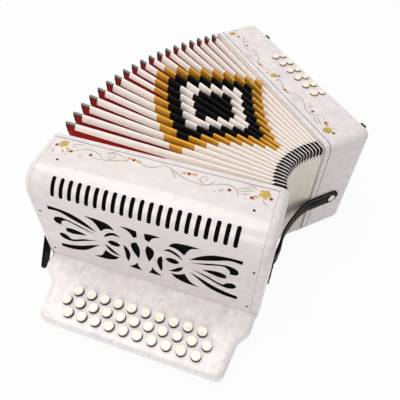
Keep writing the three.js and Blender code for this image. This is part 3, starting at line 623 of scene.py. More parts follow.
# one half of the pattern: each outline as (along, down, corner), smooth between its corners
LEAVES = [
    [(281, 2, 1), (262, 3), (245, 7.5), (230, 17), (217, 30, 1), (231, 24.5), (250, 16),
     (266, 8.5), (281, 9, 1)],
    [(281, 80, 1), (264, 77), (247, 71), (231, 62.5), (217, 56, 1), (229, 67), (243, 79),
     (262, 86), (281, 87, 1)],
    [(219, 36.5, 1), (240, 26.5), (261, 19.5), (271, 20), (277.5, 25), (276.5, 33),
     (268, 35.5, 1), (267, 28.5), (259, 23.5), (240, 30)],
    [(220, 48, 1), (240, 53.5), (260, 62), (266, 56), (274, 54), (277.5, 60), (271, 66.5),
     (259, 66.5), (240, 57.5)],
    [(233, 43, 1), (246, 38.5), (257, 37.5), (264, 40, 1), (264, 47, 1), (256, 48.5), (246, 46.5)],
    [(191, 14, 1), (198, 5.5), (208, 2.5), (219, 1.5), (231, 2, 1), (219, 8), (211, 24, 1),
     (202, 16)],
    [(192, 72, 1), (199, 80), (209, 84.5), (219, 86), (231, 86, 1), (219, 79), (211, 64, 1),
     (202, 70.5)],
    [(184, 26, 1), (191, 20.5), (199, 22.5), (205, 28), (209, 36, 1), (201, 29.5), (193, 25.5)],
    [(209.5, 50, 1), (206.5, 59), (199, 66), (189, 67.5, 1), (196.5, 61), (202.5, 54.5)],
    [(186, 43, 1), (191, 38.5), (199, 38), (205, 43, 1), (199, 48), (191, 47.5)],
    [(163, 26, 1), (169, 29.5), (171.5, 36), (169.5, 47), (163, 61, 1), (160.5, 49), (160, 37)],
    [(181.5, 39, 1), (176.5, 46), (174.5, 56), (176, 66), (179.5, 75, 1), (181.3, 66),
     (181.5, 56), (182.3, 47)],
    [(161, 3, 1), (171, 1.5), (182, 2, 1), (172, 8), (166, 18, 1), (161, 14, 1)],
    [(160, 87, 1), (164.5, 80.5), (166.5, 71, 1), (170.5, 78), (179.5, 86, 1), (170, 87)],
]


def smooth_outline(marks, steps=7):
    """A closed outline through marks, with a free turn at each corner."""
    spots = np.array([m[:2] for m in marks], float)
    corner = [len(m) > 2 for m in marks]
    out = []
    for i in range(len(marks)):
        j = (i + 1) % len(marks)
        a, b = spots[i], spots[j]
        reach = np.linalg.norm(b - a)
        ta = b - a if corner[i] else spots[j] - spots[i - 1]
        tb = b - a if corner[j] else spots[(j + 1) % len(marks)] - spots[i]
        ta, tb = (t / np.linalg.norm(t) * reach for t in (ta, tb))
        for t in np.linspace(0, 1, steps, endpoint=False):
            out.append(
                (2 * t**3 - 3 * t**2 + 1) * a + (t**3 - 2 * t**2 + t) * ta
                + (3 * t**2 - 2 * t**3) * b + (t**3 - t**2) * tb
            )
    return np.array(out)


openings = []
for leaf in LEAVES:
    drawn = smooth_outline(leaf)
    for half in (1, -1):
        along = PATTERN_MIDDLE + half * (drawn[:, 0] - PATTERN_MIDDLE)
        down = SIDE_START + (drawn[:, 1] - 2) / SIDE_SLOPE
        openings.append(np.stack([down, LENGTH - along], -1))

VENTS = 21
VENT_MARGIN = 42.6
VENT_WIDTH = 5.2
VENT_ENDS = ([-59.2, 179.6], [-75.4, 159.9]) # on the bend, near the front and near the side
spans = [STEP[np.argmin(np.linalg.norm(COVER - p, axis=1))] for p in VENT_ENDS]
for i in range(VENTS):
    y = VENT_MARGIN + i * (LENGTH - 2 * VENT_MARGIN) / (VENTS - 1)
    r = VENT_WIDTH / 2
    openings.append(np.concatenate([
        arc((spans[1] - r, y), r, -90, 90, 8), arc((spans[0] + r, y), r, 90, 270, 8)
    ]))
print("openings in the cover:", len(openings), "vents from", np.round(spans, 1))

# %% [markdown]
# The plate is about 1.8 mm thick. It could be bent first and cut with Booleans, but thin walls
# on a bend come out with torn shading. So the flat pattern is filled with triangles round its
# holes, each point is moved to the bent line, and a second skin inside gives it its thickness.

# %% The plate, cut flat and then bent
COVER_THICKNESS = 1.8
COVER_ENDS = (CHEEK + GAP, LENGTH - CHEEK - GAP)


def bent(flat):
    """Points of the flat pattern on the bent line, with the way inward at each."""
    s = flat[:, 0]
    k = np.clip(np.searchsorted(STEP, s) - 1, 0, len(STEP) - 2)
    t = (s - STEP[k]) / (STEP[k + 1] - STEP[k])
    xz = COVER[k] + (COVER[k + 1] - COVER[k]) * t[:, None]
    inner = inset(COVER, 1.0) - COVER
    n = inner[k] + (inner[k + 1] - inner[k]) * t[:, None]
    return xz, n


def inside(points, outline):
    """Which points lie inside an outline."""
    x, y = points[:, 0], points[:, 1]
    hit = np.zeros(len(points), bool)
    for a, b in zip(outline, np.roll(outline, -1, 0)):
        if a[1] == b[1]:
            continue
        crosses = (a[1] > y) != (b[1] > y)
        hit ^= crosses & (x < (b[0] - a[0]) * (y - a[1]) / (b[1] - a[1]) + a[0])
    return hit


def pierced_plate(holes, ends, thickness):
    """Points, faces and a material index for each face of the bent plate."""
    marks, edges = [], []
    for s in STEP:
        marks += [Vector((s, ends[0])), Vector((s, ends[1]))]
        edges.append((len(marks) - 2, len(marks) - 1))
    last = len(marks) - 2
    edges += [(i, i + 2) for i in range(0, last, 2)] + [(i, i + 2) for i in range(1, last, 2)]
    for hole in holes:
        first = len(marks)
        marks += [Vector(p) for p in hole]
        edges += [(first + i, first + (i + 1) % len(hole)) for i in range(len(hole))]
    spots, _, faces, *_ = geometry.delaunay_2d_cdt(marks, edges, [], 1, 1e-5)
    flat = np.array([tuple(p) for p in spots])
    middles = np.array([flat[list(f)].mean(0) for f in faces])
    gone = np.zeros(len(faces), bool)
    for hole in holes:
        near = (np.abs(middles - (hole.min(0) + hole.max(0)) / 2) < np.ptp(hole, axis=0)).all(1)
        gone[near] |= inside(middles[near], hole)
    faces = [f for f, g in zip(faces, gone) if not g]
    xz, n = bent(flat)
    outer = np.stack([xz[:, 0], flat[:, 1], xz[:, 1]], -1)
    inner = outer + thickness * np.stack([n[:, 0], np.zeros(len(n)), n[:, 1]], -1)
    count = len(flat)
    used = {}
    for f in faces:
        for i in range(len(f)):
            side = (f[i], f[(i + 1) % len(f)])
            used.setdefault(tuple(sorted(side)), []).append(side)
    walls, wall_shade = [], []
    for pair in used.values():
        if len(pair) == 1:
            a, b = pair[0]
            walls.append((b, a, a + count, b + count))
            middle = (flat[a] + flat[b]) / 2
            rim = min(middle[0], STEP[-1] - middle[0], middle[1] - ends[0], ends[1] - middle[1])
            # walls of the openings get the second finish, black painted shade; the plate's outer rim keeps
            # the pearl
            wall_shade.append(0 if rim < 0.01 else 1)
    every = [tuple(f) for f in faces] + [tuple(v + count for v in f[::-1]) for f in faces] + walls
    paint = [0] * len(faces) + [1] * len(faces) + wall_shade
    return np.concatenate([outer, inner]), every, paint


# the walls of the plate's openings take the black painted shade, the rest the pearl
points, faces, paint = pierced_plate(openings, COVER_ENDS, COVER_THICKNESS)
piece(
    "grille_cover_plate", points, faces, [COVER_PEARL, SHADE_BLACK], "treble", "pearl_cover",
    replaces=["grille_cover"], indices=paint, outward=False,
)
print("cover faces:", len(faces))

# %% [markdown]
# The cloth behind the cover is plain black, glued to the plate and drawn tight. It could be
# simulated, but tight cloth simply follows what it is glued to. So it is the same bent line,
# set back by the thickness of the plate. Its flat size is the length of that line.

# %% Grille cloth
cloth_line = inset(COVER[1:], COVER_THICKNESS + GAP)
cloth_back = inset(COVER[1:], COVER_THICKNESS + GAP + 0.6)
section = np.concatenate([cloth_line, cloth_back[::-1]])
grille_cloth = piece(
    "grille_cloth_sheet", *loft([with_y(section, y) for y in COVER_ENDS]), [GRILLE_CLOTH],
    "treble", "grille_cloth", replaces=["grille_cloth"],
)

# %% [markdown]
# Six small oval-headed screws hold the cover, three at each end. A head could be a scaled
# sphere, but a turned profile gives it the flat rim and low crown of a real one. Its slot is a
# thin black bar laid on the head, painted shade where the slot would be, turned a different way
# on each screw, as a hand leaves them.

# %% Screws of the cover


def stood(points, spot, toward):
    """Points drawn upright, stood on a face: spot is their foot, toward the way they point."""
    turn = Vector(toward).to_track_quat("Z", "Y").to_matrix()
    return np.array([tuple(turn @ Vector(p)) for p in points]) + spot


def lathe_on(profile, steps, spot, toward):
    """A turned part that stands on a face."""
    points, faces = lathe(profile, steps)
    return stood(points, spot, toward), faces


def slot_shade_bar(spot, toward, length, width, height, turn):
    """A thin bar that lies on a screw's head: painted shade for its slot."""
    shape = [(-length, -width), (length, -width), (length, width), (-length, width)]
    c, s = math.cos(turn), math.sin(turn)
    points, faces = loft([
        [(c * x - s * y, s * x + c * y, z) for x, y in shape]
        for z in (height - 0.05, height + 0.03)
    ])
    return stood(points, spot, toward), faces


def screws(name, spots, body, side="treble", radius=1.7):
    """Oval-headed screws: each spot is a point of the face and the way it looks."""
    head = [(radius, -0.2), (radius, 0.05), (radius * 0.86, 0.3), (radius * 0.5, 0.46), (0.1, 0.5)]
    parts, paint = [], []
    for k, (spot, toward) in enumerate(spots):
        made = lathe_on(head, 20, np.array(spot, float), toward)
        bar = slot_shade_bar(np.array(spot, float), toward, radius * 0.8, 0.22, 0.46, 0.5 + 1.3 * k)
        parts += [made, bar]
        paint += [0] * len(made[1]) + [1] * len(bar[1])
    # the slot bars take the black painted shade
    return piece(name, *gathered(parts), [DARK_STEEL_AND_SHADE, SHADE_BLACK], body, "nickel_plate", side,
                 indices=paint)


run = SIDE_TOP - SIDE_FOOT
side_way = (-run[1], 0.0, run[0])
spots = []
for margin, x, z, way in (
    (33.1, -36.6, DEPTH, (0, 0, 1)), # on the front
    (16.8, -79.35, 127.1, side_way), (16.9, -83.57, 47.9, side_way), # on the side
):
    spots += [((x, margin, z), way), ((x, LENGTH - margin, z), way)]
screws("cover_screws", spots, "treble")
print("cover screws:", len(spots))

# %% [markdown]
# ## Ornament of the two fronts
# A row of gilt flowers, red cut stones and thin vines runs along both sides of the bellows.
# Such trims are bought as thin stamped and printed parts and are set into the pearl. A petal is
# a crowned oval, a vine is a thin strip that tapers and ends in a curl, and a stone is a low
# cone with flat facets. They could be painted on with a texture, but a raised mesh catches the
# light at its edges, as foil and glass do. Distances are from the top end, and from the seam.

# %% Shapes of the ornament
SUNK = -0.2 # every part of it starts a little below the face
TRIM_HEIGHT = 0.14


def petal(centre, angle, length, width, height, steps=5):
    """A leaf shape, crowned along its middle."""
    rings = []
    for k in range(steps + 1):
        u = k / steps
        w = width * math.sin(math.pi * min(max(u, 0.03), 0.97)) ** 0.8 / 2
        row = []
        for v in (-1, -0.5, 0, 0.5, 1):
            x, y = length * u, w * v
            z = height * (1 - v * v) * math.sin(math.pi * min(max(u, 0.08), 0.92))
            row.append((x, y, z))
        row += [(length * u, w, SUNK), (length * u, -w, SUNK)]
        rings.append(row)
    points, faces = loft(rings)
    c, s = math.cos(angle), math.sin(angle)
    turn = np.array([[c, s, 0], [-s, c, 0], [0, 0, 1]])
    return points @ turn + [*centre, 0], faces


def strip(line, widths, height):
    """A thin raised strip along a line."""
    rings = []
    for (x, y), (dx, dy), w in zip(line, heading(line), widths):
        rings.append([
            (x + dy * w / 2, y - dx * w / 2, -0.1), (x + dy * w / 3, y - dx * w / 3, height),
            (x - dy * w / 3, y + dx * w / 3, height), (x - dy * w / 2, y + dx * w / 2, -0.1),
        ])
    return loft(rings)


def vine(marks, width=1.7, steps=9):
    """A smooth strip through marks, thin at both ends."""
    spots = np.array(marks, float)
    padded = np.concatenate([[2 * spots[0] - spots[1]], spots, [2 * spots[-1] - spots[-2]]])
    line = []
    for a, b, c, d in zip(padded, padded[1:], padded[2:], padded[3:]):
        for t in np.linspace(0, 1, steps, endpoint=False):
            line.append(0.5 * (2 * b + (c - a) * t + (2 * a - 5 * b + 4 * c - d) * t**2
                               + (3 * b - a - 3 * c + d) * t**3))
    line.append(spots[-1])
    t = np.linspace(0, 1, len(line))
    return strip(line, width * (0.25 + 0.75 * np.sin(np.pi * t) ** 0.6), TRIM_HEIGHT)


def curl(centre, radius, start, turns, way, width=1.5):
    """A strip that winds in to a small eye."""
    t = np.linspace(0, 1, 26)
    angle = math.radians(start) + way * 2 * math.pi * turns * t
    r = radius * (1 - 0.72 * t)
    line = np.stack([centre[0] + r * np.cos(angle), centre[1] + r * np.sin(angle)], -1)
    return strip(line, width * (1 - 0.55 * t), TRIM_HEIGHT)


def flower(centre, size, turn):
    """Five petals about a bead."""
    parts = [petal(centre, turn + k * 2 * math.pi / 5, size, size * 0.98, 0.55) for k in range(5)]
    bead = lathe([(1.0, SUNK), (0.95, 0.55), (0.6, 0.9), (0.1, 1.0)], 12, (*centre, 0))
    return parts + [bead]


def stone(centre, radius):
    """A low cut stone with eight facets."""
    profile = [(radius, SUNK), (radius, 0.25), (radius * 0.6, 0.75), (0.05, 0.8)]
    return lathe(profile, 8, (*centre, 0))


def ornament(flowers, stones, leaves, vines, curls, dots):
    """All parts of one trim, by finish, drawn flat: (from the top end, from the seam)."""
    gilt, rose, ink, glass = [], [], [], []
    for k, (a, u, size) in enumerate(flowers):
        gilt += flower((a, u), size, 0.4 + 0.9 * k)
    for a, u, angle, length in leaves:
        rose.append(petal((a, u), math.radians(angle), length, length * 0.55, 0.4))
    for a, u in stones:
        glass.append(stone((a, u), 2.0))
        gilt.append(lathe([(2.35, SUNK), (2.35, 0.2), (2.05, 0.28), (2.0, 0.0)], 20, (a, u, 0)))
    ink += [vine(v) for v in vines] + [curl(*c) for c in curls]
    for a, u, r in dots:
        ink.append(lathe([(r, SUNK), (r, 0.1), (r * 0.6, 0.28), (0.1, 0.32)], 12, (a, u, 0)))
    return {"gilt": gilt, "rose": rose, "ink": ink, "glass": glass}


def lay(name, trim, body, side, way):
    """Sets a trim on a front: way is 1 where x grows away from the seam, -1 where it falls."""
    finishes = {"gilt": GOLD_LEAF, "rose": ROSE_GILT, "ink": SCROLL_INK, "glass": RED_GLASS}
    for key, parts in trim.items():
        flat, faces = gathered(parts)
        points = np.stack([way * flat[:, 1], LENGTH - flat[:, 0], DEPTH + 0.02 + flat[:, 2]], -1)
        piece(f"{name}_{key}", points, faces, [finishes[key]], body, "nickel_plate", side,
              sharp=20 if key == "glass" else SHARP)


# %% [markdown]
# The trim of the cover is a list of places and sizes. It could be scattered by chance, but a
# real one is laid out by hand, in a run that answers the one across the bellows.

# %% Ornament on the grille cover
trim = ornament(
    flowers=[(27, 10, 6.8), (285, 10.5, 7.4)],
    stones=[(19, 14), (42, 19), (68, 17), (122, 8), (193, 8), (245, 17), (272, 20), (293, 15)],
    leaves=[(120, 8, 190, 8), (124, 8, 10, 9), (116, 12, 160, 5), (191, 8, 170, 8),
            (195, 8, -10, 9), (33, 15, 25, 7), (36, 21, -20, 6), (279, 16, 160, 8),
            (276, 22, 200, 7), (30, 19, 60, 6)],
    vines=[
        [(45, 18), (55, 11), (66, 9), (76, 12), (84, 17)],
        [(72, 20), (84, 20), (98, 17), (110, 12), (116, 9)],
        [(84, 8), (94, 4), (104, 6), (112, 8)], [(128, 9), (140, 13), (150, 11), (158, 6)],
        [(158, 4), (170, 7), (182, 13), (192, 17), (204, 19)], [(170, 8), (176, 14), (180, 18)],
        [(204, 19), (214, 19), (222, 15), (226, 9)],
        [(222, 17), (234, 11), (246, 10), (254, 15), (256, 23)],
        [(254, 12), (262, 8), (270, 6)], [(257, 15), (266, 11), (274, 9)], [(260, 18), (268, 16)],
        [(285, 18), (287, 23), (292, 25)], [(20, 20), (18, 24), (22, 27)],
        [(276, 8), (270, 3), (262, 3)], [(36, 8), (44, 5), (52, 4)], [(38, 12), (46, 9)],
    ],
    curls=[((92, 10), 6.5, 100, 1.15, -1), ((213, 10), 6.5, 80, 1.15, 1),
           ((55, 22), 3.0, 200, 1, 1), ((236, 21), 3.0, -20, 1, -1)],
    dots=[(157, 3, 0.9), (60, 24, 1.0), (229, 24, 1.1), (265, 24, 1.0), (38, 25, 0.9),
          (180, 20, 0.7)],
)
lay("cover", trim, "treble", "treble", -1)
print("parts of the trim:", {k: len(v) for k, v in trim.items()})

# %% [markdown]
# The bass case has a trim of the same kind, with a third flower near its middle. The same
# shapes are used again, so that both sides read as one pair.

# %% Ornament on the bass case
trim = ornament(
    flowers=[(20, 12, 6.0), (151, 12, 6.0), (285, 11, 6.8)],
    stones=[(33, 17), (62, 16), (117, 8), (156, 18), (188, 8), (245, 16), (272, 18), (293, 15)],
    leaves=[(115, 8, 185, 7), (119, 8, 10, 7), (190, 8, 0, 8), (186, 8, 180, 6), (28, 14, 30, 7),
            (144, 8, 200, 6), (160, 12, -20, 6), (279, 15, 160, 8), (276, 20, 190, 7),
            (38, 20, 30, 7)],
    vines=[
        [(42, 20), (50, 16), (60, 12), (72, 11), (80, 14)],
        [(70, 18), (84, 19), (98, 16), (110, 10)],
        [(78, 6), (88, 3), (98, 5), (108, 8)], [(124, 8), (132, 12), (142, 12)],
        [(162, 14), (172, 13), (182, 9)], [(194, 9), (204, 16), (216, 19), (226, 15)],
        [(224, 17), (234, 11), (244, 10), (252, 14), (255, 20)], [(254, 12), (262, 8), (270, 7)],
        [(257, 15), (266, 12), (274, 10)], [(284, 17), (287, 22), (292, 24)],
        [(14, 17), (12, 21), (16, 24)],
    ],
    curls=[((88, 10), 6.0, 100, 1.15, -1), ((214, 10), 6.0, 80, 1.15, 1),
           ((52, 21), 3.0, 200, 1, 1), ((236, 20), 3.0, -20, 1, -1)],
    dots=[(56, 8, 0.9), (229, 22, 1.0), (133, 6, 0.8), (173, 7, 0.8), (264, 21, 1.0)],
)
lay("bass", trim, "bass", "bass", 1)
print("parts of the trim:", {k: len(v) for k, v in trim.items()})

# %% [markdown]
# ## The fingerboard
# A hollow shelf with a wide soft bevel. Its outline is narrow at the tip and swings out to the
# full length of the case. The buttons come through bores whose walls are black painted shade. A
# bevel modifier has one width, and this bevel is broad at the ends and crisp in front, so each
# ring of the loft is drawn in by its own amount. The bores are round and many, so a Boolean cuts
# them.

# %% Fingerboard
BOARD_TOP = 33.0
BOARD_BOTTOM = 9.0
BOARD_BEVEL = 7.0
BOARD_REACH = 175.0
FRONT_SPREAD = 0.6 # the upper bevel is crisp along the front, and broad at the ends
END_SPREAD = 1.5
NECK = (3.4, 304.0) # its two ends at the case, from the bottom end
TIP = (21.0, 274.0) # the same at its outer edge
SHOULDER = 0.22 # share of the step from NECK to TIP that is left where the curve runs out
CURVE = (-97, -133) # where the curved ends begin and run out, from the seam
CORNER = 11


def cubic(a, b, c, d, steps):
    """A curve from a to d that leaves towards b and arrives from c."""
    t = np.linspace(0, 1, steps + 1)[:, None]
    a, b, c, d = (np.asarray(p, float) for p in (a, b, c, d))
    return (1 - t) ** 3 * a + 3 * t * (1 - t) ** 2 * b + 3 * t**2 * (1 - t) * c + t**3 * d


def bow(a, b):
    """An S-shaped line between two points that leaves and arrives level."""
    middle = (a[0] + b[0]) / 2
    return cubic(a, (middle, a[1]), (middle, b[1]), b, 12)


ends = [tip + (neck - tip) * SHOULDER for tip, neck in zip(TIP, NECK)]
board_line = np.concatenate([
    [[SEAT, NECK[1]]],
    bow((CURVE[0], NECK[1]), (CURVE[1], ends[1])),
    arc((-BOARD_REACH + CORNER, TIP[1] - CORNER), CORNER, 90, 180, 8),
    arc((-BOARD_REACH + CORNER, TIP[0] + CORNER), CORNER, 180, 270, 8),
    bow((CURVE[1], ends[0]), (CURVE[0], NECK[0])),
    [[SEAT, NECK[0]]],
])


def with_z(line, z):
    """A line of the plan, at one height."""
    return np.stack([line[:, 0], line[:, 1], np.full(len(line), z)], -1)


run = np.abs(np.gradient(board_line, axis=0))
endwise = run[:, :1] / run.sum(1, keepdims=True) # 1 at the ends of the board, 0 along its front
spread = FRONT_SPREAD + (END_SPREAD - FRONT_SPREAD) * endwise
lower = [with_z(inset(board_line, i), BOARD_BOTTOM + a) for i, a in rounding(BOARD_BEVEL)]
upper = [
    with_z(inset(board_line, i * spread), BOARD_TOP - a) for i, a in rounding(BOARD_BEVEL)
][::-1]
board = piece(
    "fingerboard_shelf", *loft(lower + upper), [BOARD_PEARL], "treble", "pearl_celluloid",
    replaces=["fingerboard"],
)
PITCH = 19.37
ROWS = (("inner", 10, 0.5), ("middle", 11, 0), ("outer", 10, 0.5)) # name, count, start in pitches
INNER_ROW, ROW_PITCH = -128.2, 15.5
FIRST_BUTTON = 50.765 # of the middle row, from the bottom end
ROW_SLIP = 0.95 # each row lies a little lower than the one inside it
BUTTON_RADIUS = 6.5
BORE_PLAY = 0.4
treble_spots = {}
for row, (name, count, start) in enumerate(ROWS):
    for k in range(count):
        x = INNER_ROW - row * ROW_PITCH
        y = FIRST_BUTTON + (start + k) * PITCH + (1 - row) * ROW_SLIP
        treble_spots[f"treble_button_{name}_{k + 1}"] = (x, y)
bore = BUTTON_RADIUS + BORE_PLAY
bores = [lathe([(bore, 22), (bore, 40)], 36, (x, y, 0)) for x, y in treble_spots.values()]
# the walls of the bores take the black painted shade
carve(board, bores, SHADE_BLACK)
flat_first(board)
print("bores in the fingerboard:", len(treble_spots))

# %% [markdown]
# ## Buttons
# A button is a cream pearl cap on a turned brass stem. Seen from one side, the cap is a bright
# disc and the stem under it a dark crescent: on the treble side the brass is darkened with painted
# shade for the gap round it. The face is gently dished, so that it holds a soft spot of light.
# Each could be modelled by itself, but real ones come off one lathe, so one turned mesh serves all
# buttons of a side.

# %% Buttons


def button_mesh(name, radius, foot, skirt, stem):
    """A turned button: its face at zero height, its foot below. The cap ends at its skirt."""
    profile = [
        (radius + 0.2, -foot), (radius + 0.2, -foot + 1.0), (radius, -foot + 1.2),
        (radius, -skirt - 0.3), (radius - 0.15, -skirt - 0.1), (radius - 0.15, -skirt),
        (radius, -skirt + 0.12), (radius, -1.1), (radius - 0.12, -0.62),
        (radius - 0.42, -0.24), (radius - 0.9, -0.05), (radius - 1.4, 0),
        (radius - 2.2, -0.05), (radius * 0.45, -0.2), (radius * 0.2, -0.27), (0.25, -0.3),
    ]
    steps, stem_rows = 40, 5
    points, faces = lathe(profile, steps)
    rows = len(profile) - 1
    indices = [0 if i // steps < stem_rows else 1 for i in range(rows * steps)] + [0, 1]
    return mesh_of(name, points / 1000, faces, [stem, BUTTON_PEARL], indices=indices)


def set_button(node, mesh, spot):
    """One button on its own body, in place of the plain one."""
    obj = linked(node + "_cap", mesh)
    obj.matrix_world = Matrix.Translation(Vector(spot))
    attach(obj, node)
    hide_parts(node)


TREBLE_FACE = BOARD_TOP + 6.0
# the treble stems' brass is darkened with painted shade for the gap round them
treble_mesh = button_mesh("treble_button", BUTTON_RADIUS, 11.5, 1.9, BRASS_WITH_SHADE)
for node, (x, y) in treble_spots.items():
    set_button(node, treble_mesh, placed([[x, y, TREBLE_FACE]])[0])

BASS_START, BASS_ROW_PITCH, BASS_PITCH = (40, 98.4), 11.6, 20.44
BASS_SLIP = 2 # the outer row lies a little lower
BASS_BUTTON_RADIUS = 5.0
bass_spots = {}
for row, name in enumerate(("inner", "outer")):
    for k in range(6):
        bass_spots[f"bass_button_{name}_{k + 1}"] = (
            BASS_START[0] + row * BASS_ROW_PITCH, BASS_START[1] + k * BASS_PITCH - row * BASS_SLIP
        )
BASS_FACE = DEPTH + 3.6
bass_mesh = button_mesh("bass_button", BASS_BUTTON_RADIUS, 10.5, 1.8, BRIGHT_BRASS)
for node, (x, y) in bass_spots.items():
    set_button(node, bass_mesh, placed([[x, y, BASS_FACE]], "bass")[0])
print("buttons:", len(treble_spots) + len(bass_spots))

# %% [markdown]
# ## The bass case
# A plain box with rounded long edges. It could be a cube with a bevel, but as one loft from its
# bottom end to its top end it gets the same rounding as the treble case across the bellows.
# Bores for the buttons and room for the air button are cut out of it.

# %% Bass case
BASS_RADIUS = 12.5
bass_line = np.concatenate([
    [[SEAM, 0.0]],
    arc((BASS_WIDTH - BASS_RADIUS, BASS_RADIUS), BASS_RADIUS, -90, 0, 10),
    arc((BASS_WIDTH - BASS_RADIUS, DEPTH - BASS_RADIUS), BASS_RADIUS, 0, 90, 10),
    [[SEAM, DEPTH]],
])
start_rings = [with_y(inset(bass_line, i), a) for i, a in rounding(END_RADIUS, 10)]
end_rings = [with_y(inset(bass_line, i), LENGTH - a) for i, a in rounding(END_RADIUS, 10)][::-1]
bass_case = piece(
    "bass_case_shell", *loft(start_rings + end_rings), [PEARL], "bass", "pearl_celluloid", "bass",
    replaces=["bass_case"],
)
AIR = (226.0, 24.0) # middle of the air button, from the bottom end and from the back
AIR_BORE = 7.4
bore = BASS_BUTTON_RADIUS + BORE_PLAY
cuts = [
    lathe([(bore, DEPTH - 18), (bore, DEPTH + 5)], 32, (x, y, 0)) for x, y in bass_spots.values()
]
t = np.linspace(0, 2 * np.pi, 36, endpoint=False)
rim = [AIR[0] + AIR_BORE * np.cos(t), AIR[1] + AIR_BORE * np.sin(t)]
cuts.append(loft([np.stack([np.full(len(t), x), *rim], -1) for x in (44, 75)]))
# the walls of the bores and of the air button's room take the black painted shade
carve(bass_case, cuts, SHADE_BLACK, "bass")
flat_first(bass_case)
print("bass case, metres:", np.round(bass_case.dimensions, 3))

# %% [markdown]
# ## Bellows frames and gaskets
# A flat wooden frame closes each end of the bellows, and a thin gasket of black leather makes
# the joint with the case tight. It is the gasket that draws the fine dark line round the seam.
# A frame could be a box with a hole cut in it. Here its section runs right round and joins on
# to itself, which leaves the middle open and rounds the outer corners as the cases are.

# %% Frames


def frame_ring(x, by, radius, steps=8):
    """A ring round the instrument, drawn in by a distance."""
    low, right, top = by + radius, LENGTH - by - radius, DEPTH - by - radius
    corners = [((right, low), -90), ((right, top), 0), ((low, top), 90), ((low, low), 180)]
    flat = np.concatenate([arc(c, radius, a, a + 90, steps) for c, a in corners])
    return np.stack([np.full(len(flat), x), flat[:, 0], flat[:, 1]], -1)


def frame_piece(name, start, end, side, material, slot, low=0.0, wall=12.0, soft=0.6, **more):
    """A flat ring from start to end, its outer edges softened."""
    section = [
        (start, low + soft), (start + soft, low), (end - soft, low), (end, low + soft),
        (end, low + wall), (start, low + wall),
    ]
    rings = [frame_ring(x, by, max(END_RADIUS - by, 6)) for x, by in section]
    return piece(name, *loft(rings, loop=True), [material], side, slot, side, **more)


frame_piece("treble_frame_ring", SEAM, FRAME_WIDTH, "treble", PEARL, "pearl_celluloid",
            replaces=["treble_bellows_frame"])
frame_piece("bass_frame_ring", -FRAME_WIDTH, -SEAM, "bass", PEARL, "pearl_celluloid",
            replaces=["bass_bellows_frame"])
for side, start in (("treble", -0.62), ("bass", -0.14)):
    frame_piece(f"{side}_gasket", start, 0.14, side, LEATHER, "black_leather", low=0.05, wall=6.0,
                soft=0.05)
print("frames and gaskets, mm wide:", FRAME_WIDTH - SEAM, 0.14 - start)

# %% [markdown]
# ## The bellows
# A pleated tube of card, lined with red cloth. Every ridge is bound with white tape, the tape
# carries a stepped diamond in gold, black and white, and pressed steel caps guard its corners.
# All of it is drawn as if the bellows were shut. Each point has a share of the fan: 0 beside
# the treble frame and 1 beside the bass frame. The share says how far the point is turned
# when the bellows stands open, and the same share makes it follow the hinge of the frame.
# A bend modifier would be quicker, but it can't give each fold a width of its own.

# %% Folds
FOLDS = 19
START = FRAME_WIDTH + GAP
SPAN = CLOSED - 2 * GAP
FOLD = SPAN / (FOLDS + 1)
RIDGE_INSET = 2.0 # the ridges lie this far inside the frames' outline
PLEAT = 24.0 # from a ridge down to its valley
NOSE = 1.35 # half the thickness of a ridge
DRAW = 6.0 # the open end is drawn in by this much, front and back
BULGE = 2.2 # the squeezed folds push the closed side out
gaps = [1 - 0.5 * i / FOLDS for i in range(FOLDS + 1)] # wider towards the treble side
gaps[0] *= 1.45 # the fold beside the treble frame gapes
gaps[-1] *= 0.5 # and the last one, beside the bass frame, is nearly shut
SHARES = np.concatenate([[0], np.cumsum(gaps)]) / sum(gaps)
RIDGE_CORNER = 3.6


def fanned(points, share):
    """Points of the shut bellows, as they lie when it is fanned open."""
    p = np.array(points, float)
    middle = DEPTH / 2
    p[:, 2] += DRAW * (1 - share) * p[:, 1] / LENGTH * (middle - p[:, 2]) / middle
    p[:, 1] -= BULGE * np.sin(np.pi * np.asarray(share)) * np.clip(1 - p[:, 1] / 60, 0, 1)
    p[:, :2] = turned(p[:, :2], -FAN * share, PIVOT)
    return p


def fold_spot(i, side, deep):
    """Place and share on a fold's flank: side -1 or 1, deep from 0 at its ridge to 1."""
    ridge = START + (i + 1) * FOLD
    x = ridge + side * (NOSE + (FOLD / 2 - NOSE) * deep)
    valley = (SHARES[i + 1] + SHARES[i + 1 + side]) / 2
    return x, SHARES[i + 1] + (valley - SHARES[i + 1]) * deep


def joined(parts):
    """Parts of points, shares and faces as one."""
    points, faces = gathered([(p, f) for p, _, f in parts])
    return points, np.concatenate([np.asarray(s, float) for _, s, _ in parts]), faces


def bent_piece(name, points, share, faces, materials, slot, seam, far, replaces=(), indices=None):
    """A piece that bends with the fan, between seam and far. Its points lie as they rest."""
    mesh = mesh_of(name, placed(points), faces, materials, indices=indices)
    obj = linked(name, mesh)
    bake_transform(obj, "treble", "bass", start=tuple(seam), end=tuple(far))
    # The call above gives each point a smooth share of the hinge. It is written over with the
    # share of its own fold, so that the pleats close flat.
    mesh.attributes["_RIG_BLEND"].data.foreach_set("value", share.astype(np.float32))
    if replaces:
        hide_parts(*replaces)


BELLOWS_ENDS = (
    placed([[FRAME_WIDTH, LENGTH / 2, DEPTH / 2]])[0],
    placed([[-FRAME_WIDTH, LENGTH / 2, DEPTH / 2]], "bass")[0],
)


def bellows_piece(name, parts, materials, slot="bellows_cloth", **more):
    """A piece of the bellows, from parts of the shut bellows."""
    points, share, faces = joined(parts)
    bent_piece(name, fanned(points, share), share, faces, materials, slot, *BELLOWS_ENDS, **more)


